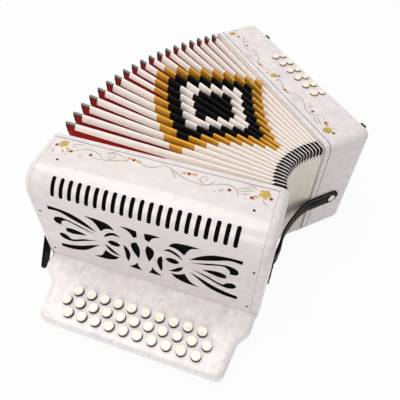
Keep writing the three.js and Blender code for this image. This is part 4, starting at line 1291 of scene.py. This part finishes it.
def cut_up(ring):
    """A ring with points added, at equal places, along its long straight sides."""
    parts = []
    for a, b in zip(ring, np.roll(ring, -1, 0)):
        n = 22 if abs(b[1] - a[1]) > 150 else 12 if abs(b[2] - a[2]) > 80 else 1
        parts.append(a + (b - a) * (np.arange(n) / n)[:, None])
    return np.concatenate(parts)


def ringed(section):
    """Rings right round the bellows through a section of (x, inset, share)."""
    rings = [cut_up(frame_ring(x, by, RIDGE_CORNER, 4)) for x, by, _ in section]
    share = np.concatenate([np.full(len(rings[0]), s) for _, _, s in section])
    points, faces = loft(rings, loop=True)
    return points, share, faces


UNDER = 0.5 # the card lies this much below the tape
WALL = 1.4 # of the card
outer = [(START, RIDGE_INSET + UNDER, 0.0)]
for i in range(FOLDS + 1):
    valley = (SHARES[i] + SHARES[i + 1]) / 2
    outer.append((START + (i + 0.5) * FOLD, RIDGE_INSET + PLEAT, valley))
    if i < FOLDS:
        for side in (-1, 1):
            x, s = fold_spot(i, side, 0.0)
            outer.append((x - side * 0.5, RIDGE_INSET + UNDER, s))
outer.append((START + SPAN, RIDGE_INSET + UNDER, 1.0))
inner = [(x, by + WALL, s) for x, by, s in outer][::-1]
bellows_piece("bellows_card", [ringed(outer + inner)], [RED_CLOTH], replaces=["bellows"])
print("folds:", FOLDS, "fold width:", round(FOLD, 2), "mm")

# %% [markdown]
# The tape is bent over the ridge and comes down both flanks. It could be a strip of the card's
# own faces in another colour, but then its edge would be as straight as the mesh. So its
# section is drawn once, and is run along each straight edge. A lift sets one layer on another.

# %% Ridge tapes
# how far each tape comes down its ridge: at the open end, and at a mark where its edge runs out
# of sight; they were laid by hand, so no two are the same
TAPE_DEPTHS = [
    (6.8, 160, 8.8), (9.5, 160, 6.8), (9.2, 185, 10.0), (9.1, 185, 9.6), (8.3, 175, 9.0),
    (10.0, 195, 9.8), (10.5, 205, 10.0), (7.2, 214, 6.2), (8.7, 226, 7.4), (9.0, 240, 8.0),
    (8.0, 230, 7.4), (11.2, 240, 11.0), (7.8, 245, 7.8), (9.0, 215, 9.0), (8.8, 200, 8.5),
    (8.2, 200, 8.3), (8.3, 190, 7.9), (8.0, 190, 7.7), (8.1, 200, 8.1),
]
CLOSED_DEPTH = 13.5 # of each tape at the closed end
END_DEPTH = 20.0 # on the two flanks beside the frames
TAPE_LOW = 12.0 # from the bottom end to the tape
TAPE_HIGH = 18.6 # from the corners of the open end to the tape
TAPE_OFF = 0.18 # a tape stands this far off the card's flank
TAPE_TURN = 1.6 # depth at which it begins to turn over the nose
TOP_DEPTH = 10.0 # of each tape across the top end
NOSE_POINT = 4 # place in a tape's section of its outermost point
CUT = 14.0 # a flank twists as the fan opens, so long runs are cut into lengths that can follow


def tape_depth(i, mark):
    """How deep tape i comes down its flanks at a mark along the front."""
    at_end, fades, at_fade = TAPE_DEPTHS[i]
    return float(np.interp(mark, [fades - 14, fades, 296], [CLOSED_DEPTH, at_fade, at_end]))


def tape_section(i, depth, lift):
    """The section of a tape over ridge i: (x, inset, share), outer side first."""
    out = []
    for side in (-1, 1):
        flank = []
        for d in (depth, depth * 0.5, TAPE_TURN):
            x, s = fold_spot(i, side, d / PLEAT)
            flank.append((x + side * (TAPE_OFF + lift), RIDGE_INSET + d, s))
        x, s = fold_spot(i, side, 0.0)
        flank.append((x - side * 0.25, RIDGE_INSET + 0.35 - lift, s))
        out += flank if side < 0 else flank[::-1]
    mid = (START + (i + 1) * FOLD, RIDGE_INSET - lift, SHARES[i + 1])
    out.insert(NOSE_POINT, mid)
    # back on the under side: flank, nose, nose, flank
    for side, d, inward, drop in (
        (1, depth, 0.05, depth), (1, 0, 0.5, 0.6), (-1, 0, 0.5, 0.6), (-1, depth, 0.05, depth),
    ):
        x, s = fold_spot(i, side, d / PLEAT)
        out.append((x - side * inward, RIDGE_INSET + drop, s))
    return out


def edge_spot(edge, by, mark):
    """A point on one straight edge of the shut bellows, at a mark along it."""
    return {"front": (mark, DEPTH - by), "back": (mark, by), "top": (LENGTH - by, mark)}[edge]


def run_along(i, edge, start, end, depth, lift):
    """A tape along one edge of ridge i, between two marks. Its depth may differ along it."""
    marks = np.linspace(start, end, math.ceil((end - start) / CUT) + 1)
    rings, share = [], []
    for m in marks:
        section = tape_section(i, depth(i, m) if callable(depth) else depth, lift)
        rings.append([(x, *edge_spot(edge, by, m)) for x, by, _ in section])
        share += [s for _, _, s in section]
    points, faces = loft(rings)
    return points, np.array(share), faces


tapes = []
for i in range(FOLDS):
    for edge in ("front", "back"):
        tapes.append(run_along(i, edge, TAPE_LOW, LENGTH - TAPE_HIGH, tape_depth, 0.0))
    tapes.append(run_along(i, "top", TAPE_HIGH * 1.4, DEPTH - TAPE_HIGH * 1.4, TOP_DEPTH, 0.0))
for x, way, share_there, share_valley in (
    (START, 1, 0.0, SHARES[1] / 2), (START + SPAN, -1, 1.0, (1 + SHARES[FOLDS]) / 2),
):
    flank = []
    for lift, depths in ((0.2, (0.2, 8.0, END_DEPTH)), (-0.05, (END_DEPTH, 8.0, 0.2))):
        for d in depths:
            s = share_there + (share_valley - share_there) * d / PLEAT
            flank.append((x + way * (FOLD / 2 * d / PLEAT + lift), RIDGE_INSET + d, s))
    tapes.append(ringed(flank))
bellows_piece("bellows_ridge_tapes", tapes, [WHITE_TAPE])
print("tapes:", len(tapes))

# %% [markdown]
# The bottom end is the closed side of the fan. There the folds are so tight that the broad
# cream binding of each one meets the next, and the side looks like one smooth curved sheet.
# One sheet would be simpler, but nineteen strips keep the fine lines between the folds, and
# each can turn with its own ridge.

# %% Closed side
bindings = []
BINDING = FOLD / 2 - 0.05 # half the width of one
CAP_END = 22 # the bindings rise over the caps of the back from this height down
for i in range(FOLDS):
    ridge = START + (i + 1) * FOLD
    section = [
        (ridge - BINDING, 1.6), (ridge - BINDING, 0.2), (ridge - BINDING + 0.35, 0.03), (ridge, 0),
        (ridge + BINDING - 0.35, 0.03), (ridge + BINDING, 0.2), (ridge + BINDING, 1.6),
    ]
    rings = []
    for z in (5.8, 10, 15, CAP_END, 60, 100, 140, DEPTH - 13):
        over = 0.4 * min(max((CAP_END - z) / 7, 0), 1)
        rings.append([(x, RIDGE_INSET + by - over, z) for x, by in section])
    points, faces = loft(rings)
    bindings.append((points, np.full(len(points), SHARES[i + 1]), faces))
bellows_piece("bellows_closed_side", bindings, [CREAM_BINDING])
print("bindings:", len(bindings), "each", round(2 * BINDING, 2), "mm wide")

# %% [markdown]
# The diamond is laid on the front tapes, ridge by ridge. It is widest at the middle ridges and
# loses one step on each ridge away from them, which makes the stepped edges of the pattern:
# a gold ring, a black ring, a white ring and a black heart. It could be a pattern in the
# tape's material, but real strips are glued on, and their raised edges show.

# %% Stepped diamond
DIAMOND_MIDDLE = 148.0
DIAMOND_STEP = 13.5
DIAMOND_TIP = 9.5
DIAMOND_DRIFT = 9 # the last strips were glued this much nearer the top end
WIDEST = 10.5 # the widest place lies between the tenth ridge and the eleventh
# finish and reach in ridges of each ring; None leaves the white tape bare
RINGS = (("gold", 8.5), ("black", 6.5), (None, 4.5), ("black", 2.5))
STRIP_DEPTH = {"gold": lambda i, mark: tape_depth(i, mark) + 0.3, "black": CLOSED_DEPTH + 0.3}
parts = {"gold": [], "black": []}
for i in range(FOLDS):
    off = abs(i + 1 - WIDEST)
    middle = DIAMOND_MIDDLE + DIAMOND_DRIFT * (i / (FOLDS - 1)) ** 3
    half = [DIAMOND_TIP + DIAMOND_STEP * (ring - off) for _, ring in RINGS]
    half = [h for h in half if h > 0] + [0.0]
    for (tape, _), far, near in zip(RINGS, half, half[1:]):
        if tape:
            for a, b in [(-far, -near), (near, far)] if near else [(-far, far)]:
                parts[tape].append(
                    run_along(i, "front", middle + a, middle + b, STRIP_DEPTH[tape], 0.1)
                )
bellows_piece("bellows_gold_strips", parts["gold"], [GOLD_TAPE])
bellows_piece("bellows_black_strips", parts["black"], [BLACK_TAPE])
print("strips:", {k: len(v) for k, v in parts.items()})

# %% [markdown]
# Every ridge has a pressed cap on each of its four corners. It wraps the nose of the ridge and
# runs a little way along both edges. Its flanks are dark with painted shade, and at the open end
# its nose is lighter with a painted highlight. It could be a small box, but the tape's own
# section, lifted and run round the corner, sits on it snugly. At the closed end a fine pale line
# of the tape's material, a painted highlight on each nose, shows between one dark cap and the next.

# %% Corner caps
CAP_REACH = (11.5, 11.8) # past the rounding, at the bottom end and at the top end
CAP_DEPTH = (5.5, 2.6)
CAP_LIFT = 0.3
NOSE_SLIP = 0.45 # at the bottom end the nose of a cap lies this much nearer its treble side
HIGHLIT_FACES = {2: 1, 3: 1, 4: 1, 5: 1} # faces of the section painted lighter as a highlight, at the open end
NOSE_HIGHLIGHT_LINE = {NOSE_POINT: 2} # the face painted in the tape's material as a pale highlight line, at the closed end


def cap_path(corner, by):
    """The way round one corner at a given inset: (y, z) points."""
    r = RIDGE_CORNER
    bend = arc((by + r, by + r), r, 180, 270, 6)
    reach = CAP_REACH[corner[0]]
    way = np.concatenate([[[by, by + r + reach]], bend, [[by + r + reach, by]]])
    if corner[0]:
        way[:, 0] = LENGTH - way[:, 0]
    if corner[1]:
        way[:, 1] = DEPTH - way[:, 1]
    return way


caps, cap_index = [], []
for i in range(FOLDS):
    for corner in ((0, 0), (0, 1), (1, 0), (1, 1)):
        section = tape_section(i, CAP_DEPTH[corner[0]], CAP_LIFT)
        if not corner[0]:
            x, by, s = section[NOSE_POINT]
            section[NOSE_POINT] = (x - NOSE_SLIP, by, s)
        paths = [cap_path(corner, by) for _, by, _ in section]
        rings = [
            [(x, *paths[k][n]) for k, (x, _, _) in enumerate(section)] for n in range(len(paths[0]))
        ]
        points, faces = loft(rings)
        caps.append((points, np.tile([s for _, _, s in section], len(rings)), faces))
        bright = HIGHLIT_FACES if corner[0] else NOSE_HIGHLIGHT_LINE
        cap_index += [bright.get(k, 0) for k in range(len(section))] * (len(rings) - 1) + [0, 0]
# index 0 paints shade on the flanks, index 1 paints a highlight on the noses at the open end, and index 2,
# the white tape, paints a highlight line on the noses at the closed end
bellows_piece("bellows_corner_caps", caps, [DARK_STEEL_AND_SHADE, HIGHLIT_STEEL, WHITE_TAPE], "nickel_plate",
              indices=cap_index)
print("caps:", len(caps))

# %% [markdown]
# ## Straps
# The two bellows straps are of black leather. The lower one is snapped shut over the closed side
# of the fan, from a folded end on the treble case to a snap on the bass case. The upper one is
# open and hangs from its rivet. A flat strip with a thickness modifier would have hard edges,
# so a strap is a loft along a line, with a section whose edges are rounded.

# %% Strap tools


def strap_section(width, thick, steps=3, crown=0.0):
    """A section with rounded edges: (thickness, width) points. Its outer side may be crowned."""
    r = min(thick / 2, 1.1)
    w, h = width / 2 - r, thick / 2 - r
    corners = [((h, -w), -90), ((h, w), 0), ((-h, w), 90), ((-h, -w), 180)]
    arcs = [arc(c, r, a, a + 90, steps) for c, a in corners]
    across = np.array([0.66, 0.6, 0.5, 0.36, 0.15, -0.15, -0.36, -0.5, -0.6, -0.66])
    rib = np.stack([-h - r - crown * (1 - (across / 0.66) ** 4), across * w], -1)
    return np.concatenate([*arcs[:3], rib, arcs[3]])


def strap_rings(line, widths, thickness, crowns):
    """Sections along a line in the plan, each with its own width, thickness and crown."""
    rings = []
    for (x, y), (dx, dy), w, thick, crown in zip(line, heading(line), widths, thickness, crowns):
        s = strap_section(max(w, thick + 0.2), thick, crown=crown)
        rings.append(np.stack([x - dy * s[:, 0], y + dx * s[:, 0], s[:, 1]], -1))
    return rings


def tapered(line, width, tip):
    """Widths along a line, rounded off within a tip's length of its end."""
    ahead = np.linalg.norm(np.diff(line, axis=0), axis=1)
    left = np.concatenate([np.cumsum(ahead[::-1])[::-1], [0]])
    share = np.clip(left / tip, 0, 1)
    return width * np.sqrt(np.clip(1 - (1 - share) ** 2, 0, 1))


# %% [markdown]
# The lower strap is drawn as it lies at rest: a thin tongue under its plate, a rise over the
# edge of the case, a bend across the fan and a tail round the snap. Four lines are joined up,
# because each part is held by something else. The bend then shares out the turn of the fan.

# %% Lower strap
STRAP_WIDTH = 18.0
STRAP_THICK = 2.6
STRAP_Z = 70.0 # middle of the lower strap, from the back
LOWER_WIDTH = 24.0
CROWN = 1.0 # the padded middle stands this much above the sewn edges
TONGUE_THICK = 0.9
FOLD_THICK = 4.6 # where the leather is folded on itself beside the plate


def from_bass(x, y):
    """A point of the bass drawing frame, in the treble one."""
    return turned([x, y], -FAN, np.zeros(2)) + BASS_CORNER


middle = -GAP - STRAP_THICK / 2
lifted = middle - 2.4
bend_start, bend_end = np.array([12.0, lifted]), from_bass(-6, middle)
reach = np.linalg.norm(bend_end - bend_start) * 0.25
toward = from_bass(-1, 0) - BASS_CORNER
bend = cubic(bend_start, bend_start + [reach, 0], bend_end + toward * reach, bend_end, 28)
tongue = np.linspace([-49.5, -GAP - 0.6], [-25, -GAP - 0.6], 8)
rise = cubic((-22, -GAP - 0.7), (-17, -GAP - 1.0), (-10, lifted), (11, lifted), 16)
tail = np.linspace(from_bass(-5, middle), from_bass(41, middle), 24)
strap_line = np.concatenate([tongue, rise, bend, tail])
widths = tapered(strap_line, LOWER_WIDTH, LOWER_WIDTH / 2)
marks = [-60, -23, -16.6, -11.5, -4, 14, 200]
thickness = np.interp(strap_line[:, 0], marks, [
    TONGUE_THICK, TONGUE_THICK, 3.2, FOLD_THICK, 4.4, STRAP_THICK, STRAP_THICK
])
run = distances(strap_line)
crowns = CROWN * np.interp(run, [34, 50, run[-1] - 30, run[-1] - 20], [0, 1, 1, 0])
rings = strap_rings(strap_line, widths, thickness, crowns)
share = np.concatenate([
    np.zeros(len(tongue) + len(rise)), np.linspace(0, 1, len(bend)), np.ones(len(tail))
])
points, faces = loft(rings)
points[:, 2] += STRAP_Z
parts = [(points, np.repeat(share, len(rings[0])), faces)]


def strap_piece(name, parts, material, **more):
    """A piece of the lower strap. Its bend shares the turn evenly along its length."""
    ends = placed([[*bend_start, STRAP_Z], [*bend_end, STRAP_Z]])
    bent_piece(name, *joined(parts), [material], "black_leather", *ends, **more)


strap_piece("lower_bellows_strap", parts, LEATHER, replaces=["bottom_strap"])
print("lower strap:", round(run[-1]), "mm long")

# %% [markdown]
# Both edges of the strap are sewn. A seam is a row of short stitches, each a small lozenge that
# dips at its ends, and on the bend each one keeps the share of the leather under it. Stitches
# could be a bump in the leather, but real thread stands up and catches the light. A real stitch
# is about 0.6 mm wide, and is drawn as 1.3 mm so that it shows.

# %% Stitches of the lower strap


def stitch(a, b, out_way, across, width=1.3, height=0.3):
    """One stitch between two points on a surface."""
    middle = (a + b) / 2 + out_way * height
    half = across * width / 2
    points = [a, middle + half, b, middle - half, (a + b) / 2 - out_way * 0.2]
    faces = [(0, 3, 1), (1, 3, 2), (0, 1, 4), (1, 2, 4), (2, 3, 4), (3, 0, 4)]
    return np.array(points), faces


STITCH_PITCH, STITCH_LENGTH = 3.4, 2.3


def seam_along(line, lifts, share, z, first=4, last=9, pitch=STITCH_PITCH, length=STITCH_LENGTH,
               **size):
    """Stitches at one height along a strap's line, on its outer side."""
    steps, ahead = distances(line), heading(line)
    surface = line + np.stack([ahead[:, 1], -ahead[:, 0]], -1) * lifts[:, None]
    parts = []
    for s in np.arange(first, steps[-1] - last, pitch):
        ends = [
            np.array([np.interp(q, steps, surface[:, 0]), np.interp(q, steps, surface[:, 1]), z])
            for q in (s, s + length)
        ]
        way = (ends[1] - ends[0]) / length
        points, faces = stitch(*ends, np.array([way[1], -way[0], 0]), np.array([0, 0, 1]), **size)
        here = np.interp(s + length / 2, steps, share)
        parts.append((points, np.full(len(points), here), faces))
    return parts


seams = []
SEWN_IN = 2.4 # from the edge of the leather to its seam
for z in (STRAP_Z - LOWER_WIDTH / 2 + SEWN_IN, STRAP_Z + LOWER_WIDTH / 2 - SEWN_IN):
    seams += seam_along(strap_line, thickness / 2, share, z)
strap_piece("lower_strap_stitches", seams, THREAD)
print("stitches:", len(seams))

# %% [markdown]
# A thin blackened plate holds the strap's tongue to the end of the treble case, with two
# screws. It could be a flat box, but a pressed plate has softened ends and edges, so it is a
# short loft whose first and last rings are drawn in.

# %% Plate of the lower strap
PLATE_HALF, PLATE_FACE = 12.8, 12.4 # half its width, at its edge and on its face
plate = [
    [(x, -GAP - 1.55 - d, STRAP_Z + z) for z, d in (
        (-PLATE_HALF * w, 0), (-PLATE_FACE * w, 0.5), (PLATE_FACE * w, 0.5), (PLATE_HALF * w, 0),
        (PLATE_HALF * w, -1.2), (-PLATE_HALF * w, -1.2),
    )]
    for x, w in (
        (-49.8, 0.9), (-49.0, 0.97), (-48.0, 1.0), (-28.0, 1.0), (-27.0, 0.97), (-26.2, 0.9),
    )
]
piece("lower_strap_plate", *loft(plate), [DARK_STEEL_AND_SHADE], "treble", "nickel_plate")
spots = [((x, -GAP - 2.0, STRAP_Z), (0, -1, 0)) for x in (-45, -31)]
screws("lower_strap_screws", spots, "treble")
print("plate:", 2 * PLATE_HALF, "mm across, screws:", len(spots))

# %% [markdown]
# A nickel-plated press stud closes the strap on the bass case. It is pressed from round sheet,
# so it is turned from one profile, rim and dome together.

# %% Snap of the lower strap
SNAP_X = 29.04
snap_profile = [
    (2.2, 0), (2.2, 3.0), (5.4, 3.0), (5.8, 3.3), (5.7, 3.9), (5.1, 4.1), (4.9, 4.0), (4.2, 4.8),
    (2.6, 5.2), (0.3, 5.3),
]
points, faces = lathe(snap_profile, 36)
points = np.stack([SNAP_X + points[:, 0], -GAP - points[:, 2], STRAP_Z + points[:, 1]], -1)
piece("lower_strap_snap", points, faces, [NICKEL], "bass", "nickel_plate", "bass",
      replaces=["bottom_snap"])
print("snap:", round(np.ptp(points[:, 0]), 1), "mm across")

# %% [markdown]
# The upper strap hangs open from its rivet, down the top end of the treble case. It could lie
# flat on the case, but leather that has been worn closed keeps a slight bow, so its free end
# stands off. Its rounded ends come from a width that runs out like a half circle.

# %% Upper strap
UPPER_CURL = 5.0 # how far the free end stands off, because the leather has set to a slight bow
pivot, tip = np.array([-12.0, 125.0]), np.array([-93.0, 9.3])
way = (tip - pivot) / np.linalg.norm(tip - pivot)
side = np.array([-way[1], way[0]])
whole = np.linalg.norm(tip - pivot) + STRAP_WIDTH
under = LENGTH + GAP # the strap lies on this face
steps = 40


def off_case(along):
    """How far the strap stands off at a distance along it."""
    return UPPER_CURL * max(0, along / whole - 0.06) ** 1.1


rings = []
for k in range(steps + 1):
    along = whole * k / steps
    left = min(along, whole - along)
    r = STRAP_WIDTH / 2
    w = STRAP_WIDTH * math.sqrt(max(1 - (1 - min(left / r, 1)) ** 2, 0))
    s = strap_section(max(w, STRAP_THICK + 0.2), STRAP_THICK)
    spots = pivot + way * (along - r) + side * s[:, 1:2]
    y = under + STRAP_THICK / 2 + off_case(along) + s[:, 0]
    rings.append(np.stack([spots[:, 0], y, spots[:, 1]], -1))
piece("upper_bellows_strap", *loft(rings), [LEATHER], "top_strap", "black_leather",
      replaces=["top_strap"])
parts = []
for edge in (-1, 1):
    for s in np.arange(6, whole - 9, STITCH_PITCH):
        ends = []
        for q in (s, s + STITCH_LENGTH):
            spot = pivot + way * (q - STRAP_WIDTH / 2) + side * edge * (STRAP_WIDTH / 2 - 1.8)
            ends.append(np.array([spot[0], under + STRAP_THICK + off_case(q) - 0.02, spot[1]]))
        parts.append(stitch(*ends, np.array([0, 1.0, 0]), np.array([side[0], 0, side[1]])))
piece("upper_strap_stitches", *gathered(parts), [THREAD], "top_strap", "black_leather")
print("stitches:", len(parts))
rivet = [(4.6, 0), (4.6, 0.5), (3.8, 1.2), (2.2, 1.7), (0.2, 1.9)]
socket = [(5.4, -0.2), (5.4, 0.6), (4.6, 1.2), (3.2, 1.2), (2.6, 0.5), (0.2, 0.4)]
end = pivot + way * (whole - STRAP_WIDTH - 3)
for name, profile, (x, z), lift in (("rivet", rivet, pivot, 0.0), ("socket", socket, end, 4.0)):
    stud = lathe_on(profile, 32, [x, under + STRAP_THICK + lift, z], (0, 1, 0))
    piece(f"upper_strap_{name}", *stud, [NICKEL], "top_strap", "nickel_plate")

# %% [markdown]
# The hand strap arches over the outer face of the bass case. It is a broad padded leather band,
# folded under a metal bar at each end, and sewn along both edges. Its padding could be blown up
# with a cloth simulation, but a taut band this flat keeps its shape, so its section is drawn:
# crowned between the seams outside, and fuller towards the hand.

# %% Hand strap
STRAP_LOW, STRAP_HIGH = 57.0, 119.0 # its two edges, from the back
first, last = 34.0, 258.0 # its two ends, from the bottom end
tab = 16.0 # length that lies flat at each end
rise = 31.4 # how high it arches
BAND = 1.3 # half the thickness of its leather
PADDED = 1.1 # how far the padding crowns it outside
SEAM_AT = 0.84 # of half its width
face_x = BASS_WIDTH + GAP
count = 56
ys = np.linspace(first + tab, last - tab, count)
lift = np.sin(np.pi * np.linspace(0, 1, count)) ** 1.25
line = np.concatenate([
    [[face_x, first], [face_x, first + tab * 0.5]], np.stack([face_x + rise * lift, ys], -1),
    [[face_x, last - tab * 0.5], [face_x, last]],
])
pad = np.concatenate([[0, 0], np.clip(lift * 1.6, 0, 1), [0, 0]])
middle = (STRAP_LOW + STRAP_HIGH) / 2
half_width = (STRAP_HIGH - STRAP_LOW) / 2
ahead = heading(line)
out_way = np.stack([ahead[:, 1], -ahead[:, 0]], -1)
across = np.linspace(-1, 1, 15)
rings = []
for spot, n, p in zip(line, out_way, pad):
    ring = []
    for u in across: # outer side, crowned between its seams and thinned at its edges
        edge = max(0, (abs(u) - 0.9) / 0.1)
        crown = BAND + PADDED * p * max(0, 1 - abs(u / 0.82) ** 4) - 0.9 * edge**2
        c = spot + n * (BAND + crown)
        ring.append((c[0], c[1], middle + half_width * u))
    for u in across[::-1]: # padded side towards the hand
        edge = max(0, (abs(u) - 0.9) / 0.1)
        c = spot - n * (2.4 * p * max(0, 1 - abs(u / 0.86) ** 3)) + n * 0.4 * edge
        ring.append((c[0], c[1], middle + half_width * u))
    rings.append(ring)
hand_strap = piece(
    "hand_strap_band", *loft(rings), [LEATHER], "bass", "black_leather", "bass",
    replaces=["hand_strap"], sharp=60,
)
print("hand strap points:", len(rings) * len(rings[0]))

# %% [markdown]
# Two rows of stitches hold the padding in. A pressed bar with two screws holds each end. The
# stitches are those of the lower strap again, longer and finer, and the bars are lofts whose
# ends are drawn in.

# %% Stitches and bars of the hand strap
parts = []
still = np.zeros(len(line)) # it doesn't bend with the fan
for u in (-SEAM_AT, SEAM_AT):
    parts += seam_along(line, still + 2 * BAND, still, middle + half_width * u, first=14, last=14,
                        pitch=4.2, length=2.9, width=1.0, height=0.4)
points, _, faces = joined(parts)
piece("hand_strap_stitches", points, faces, [THREAD], "bass", "black_leather", "bass")
bars, heads = [], []
for y in (first + 7.5, last - 7.5):
    rings = []
    for k, z in enumerate(np.linspace(STRAP_LOW - 3.5, STRAP_HIGH + 3.5, 13)):
        w = 4.4 * (1 if 0 < k < 12 else 0.7)
        rings.append([
            (face_x + 0.2, y - w, z), (face_x + 3.4, y - w, z), (face_x + 3.9, y - w + 0.7, z),
            (face_x + 4.0, y, z), (face_x + 3.9, y + w - 0.7, z), (face_x + 3.4, y + w, z),
            (face_x + 0.2, y + w, z),
        ])
    bars.append(loft(rings))
    heads += [((face_x + 4.0, y, z), (1, 0, 0)) for z in (STRAP_LOW + 6, STRAP_HIGH - 6)]
piece("hand_strap_bars", *gathered(bars), [NICKEL], "bass", "nickel_plate", "bass")
screws("hand_strap_screws", heads, "bass", "bass", 2.2)
print("stitches:", len(parts), "bars:", len(bars))

# %% [markdown]
# ## Rubber rails, air button, and the wood inside
# Two moulded rubber rails let the instrument stand on its bass side. Each could be a bevelled
# bar, but a moulded rail has a hollow face and round shoulders, so its section is drawn and
# lofted along it. Sunk screws hold it.

# %% Rails
for name, y in (("bottom", 18.0), ("top", 269.0)):
    rings = []
    for z, shrink in (
        (10, 2.2), (10.6, 1.0), (12, 0.25), (14, 0), (60, 0), (92, 0), (124, 0), (170, 0),
        (172, 0.25), (173.4, 1.0), (174, 2.2),
    ):
        h = 8.0 - shrink * 0.9
        section = [
            (0.05, 0.6), (0.6, 0.2), (h - 2.0, 1.4), (h - 0.7, 1.9), (h, 3.0), (h - 0.5, 4.6),
            (h - 0.5, 7.4), (h, 9.0), (h - 0.7, 10.1), (h - 2.0, 10.6), (0.6, 11.8), (0.05, 11.4),
        ]
        rings.append([
            (BASS_WIDTH + x, y + 6 + (v - 6) * (1 - shrink * 0.06), z) for x, v in section
        ])
    piece(f"{name}_rubber_rail", *loft(rings), [RUBBER], "bass", "black_rubber", "bass",
          replaces=[f"{name}_foot_rail"])
    spots = [((BASS_WIDTH + 7.3, y + 6, z), (1, 0, 0)) for z in (28, 92, 156)]
    screws(f"{name}_rail_screws", spots, "bass", "bass", 2.0)
print("last rail, mm out from the case:", max(x for ring in rings for x, _, _ in ring) - BASS_WIDTH)

# %% [markdown]
# The air button beside the hand strap opens a valve. It is a nickelled collar with a pearl cap
# let into it, so one turned profile carries both finishes, row by row. The reed blocks inside
# are of planed spruce. Their CAD shape is right, so they only get their wood.

# %% Air button
steps, collar_rows = 40, 6
profile = [
    (7.0, -9), (7.0, 4.6), (6.8, 5.2), (6.2, 5.5), (6.1, 5.3), (6.05, 4.9), (5.9, 4.9), (5.9, 5.5),
    (5.6, 5.9), (5.0, 6.0), (3.6, 5.7), (1.8, 5.5), (0.2, 5.45),
]
points, faces = lathe_on(profile, steps, np.array([BASS_WIDTH, *AIR]), (1, 0, 0))
rows = len(profile) - 1
paint = [0 if i // steps < collar_rows else 1 for i in range(rows * steps)] + [0, 1]
piece("air_button_cap", points, faces, [NICKEL, BUTTON_PEARL], "air_button", "cream_button", "bass",
      replaces=["air_button"], indices=paint)
for node in ("treble_reed_block", "bass_reed_block"):
    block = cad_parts[node]
    block.data.materials.clear()
    block.data.materials.append(SPRUCE)
print("nodes that keep their CAD shape:", [
    n for n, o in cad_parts.items() if not o.hide_render
])

# %% [markdown]
# ## Setting: floor, light, background
# The instrument lies on a plain pale floor under soft light, in front of white. More light would
# make the floor white too, but the pearl would clip with it. So the floor glows for the camera
# and for polished things, and a small share of plain paper keeps the instrument's soft shadow.

# %% Floor
FLOOR_SIZE = 60 # metres each way, so that its edge lies beyond every view
FLOOR_GLOW = 0.93 # the rest is paper, and takes the shadow
corners = [(x * FLOOR_SIZE, y * FLOOR_SIZE, 0) for x, y in ((-1, -1), (1, -1), (1, 1), (-1, 1))]
floor_mesh = mesh_of("floor", corners, [(0, 1, 2, 3)], [])
floor = linked("floor", floor_mesh)
floor.location.z = -0.0002


def bare_tree(data):
    """The emptied nodes of a material or a world, and 1 for rays that should see plain white."""
    data.use_nodes = True
    tree = data.node_tree
    tree.nodes.clear()
    path = add(tree, "LightPath")
    seen = path.outputs["Is Camera Ray"]
    for kind in ("Is Glossy Ray", "Is Transmission Ray"):
        seen = add(tree, "Math", {0: seen, 1: path.outputs[kind]}, operation="MAXIMUM").outputs[0]
    return tree, seen


floor_finish = bpy.data.materials.new("white_studio_paper")
tree, seen = bare_tree(floor_finish)
paper = add(tree, "BsdfDiffuse", {"Color": colour("#F2F1F1")})
glow = add(tree, "Emission", {"Color": colour("#FFFFFF"), "Strength": 1.0})
share = add(tree, "Math", {0: seen, 1: FLOOR_GLOW}, operation="MULTIPLY")
mixed = add(tree, "MixShader", {0: share.outputs[0], 1: paper.outputs[0], 2: glow.outputs[0]})
add(tree, "OutputMaterial", {"Surface": mixed.outputs[0]})
floor_mesh.materials.append(floor_finish)
print("floor:", FLOOR_SIZE * 2, "m wide")

# %% [markdown]
# One broad lamp stands above and a second fills in from the treble side. Small lamps would give
# hard shadows, and the pearl needs broad soft ones to show its flakes. The world is a dim room
# that the camera sees as white.

# %% Background and lamps
world = bpy.data.worlds.new("studio")
scene.world = world
tree, seen = bare_tree(world)
room = add(tree, "Background", {"Color": colour("#F4F6FA"), "Strength": 0.45})
white = add(tree, "Background", {"Color": colour("#FFFFFF"), "Strength": 1.0})
mixed = add(tree, "MixShader", {0: seen, 1: room.outputs[0], 2: white.outputs[0]})
add(tree, "OutputWorld", {"Surface": mixed.outputs[0]})


def lamp(name, spot, target, size, watts, tint):
    """A round soft lamp that looks at a target."""
    data = bpy.data.lights.new(name, "AREA")
    data.shape = "DISK"
    data.size = size
    data.energy = watts
    data.color = colour(tint)[:3]
    obj = linked(name, data)
    obj.location = spot
    obj.rotation_euler = (Vector(target) - Vector(spot)).to_track_quat("-Z", "Y").to_euler()


lamp("soft_top", (0.3, 0.45, 2.0), (0.05, 0.0, 0.1), 1.8, 21.4, "#FFFAF4")
lamp("fill", (-1.7, 0.5, 1.3), (0.0, 0.0, 0.05), 1.4, 11.4, "#FFFBF6")
print("lamps:", len(bpy.data.lights))

# %% [markdown]
# ## Camera
# It stands where the photographer stood: above the treble side, looking down across the fan. It
# could be aimed at a target, but its place and its three directions were worked out together
# from known points of the instrument, so they are written as they came out.

# %% Camera
camera = bpy.data.cameras.new("camera")
camera.lens = 37.19
camera.sensor_width = 36
eye = linked("camera", camera)
right = Vector((0.3195, -0.9476, 0.0012))
down = Vector((-0.7342, -0.2483, -0.6319))
forward = Vector((0.5991, 0.2011, -0.7750))
basis = Matrix((right.normalized(), -down.normalized(), -forward.normalized())).transposed()
eye.matrix_world = Matrix.Translation((-0.276316, -0.154740, 0.541749)) @ basis.to_4x4()
scene.camera = eye
print("camera at", [round(v, 3) for v in eye.matrix_world.translation])
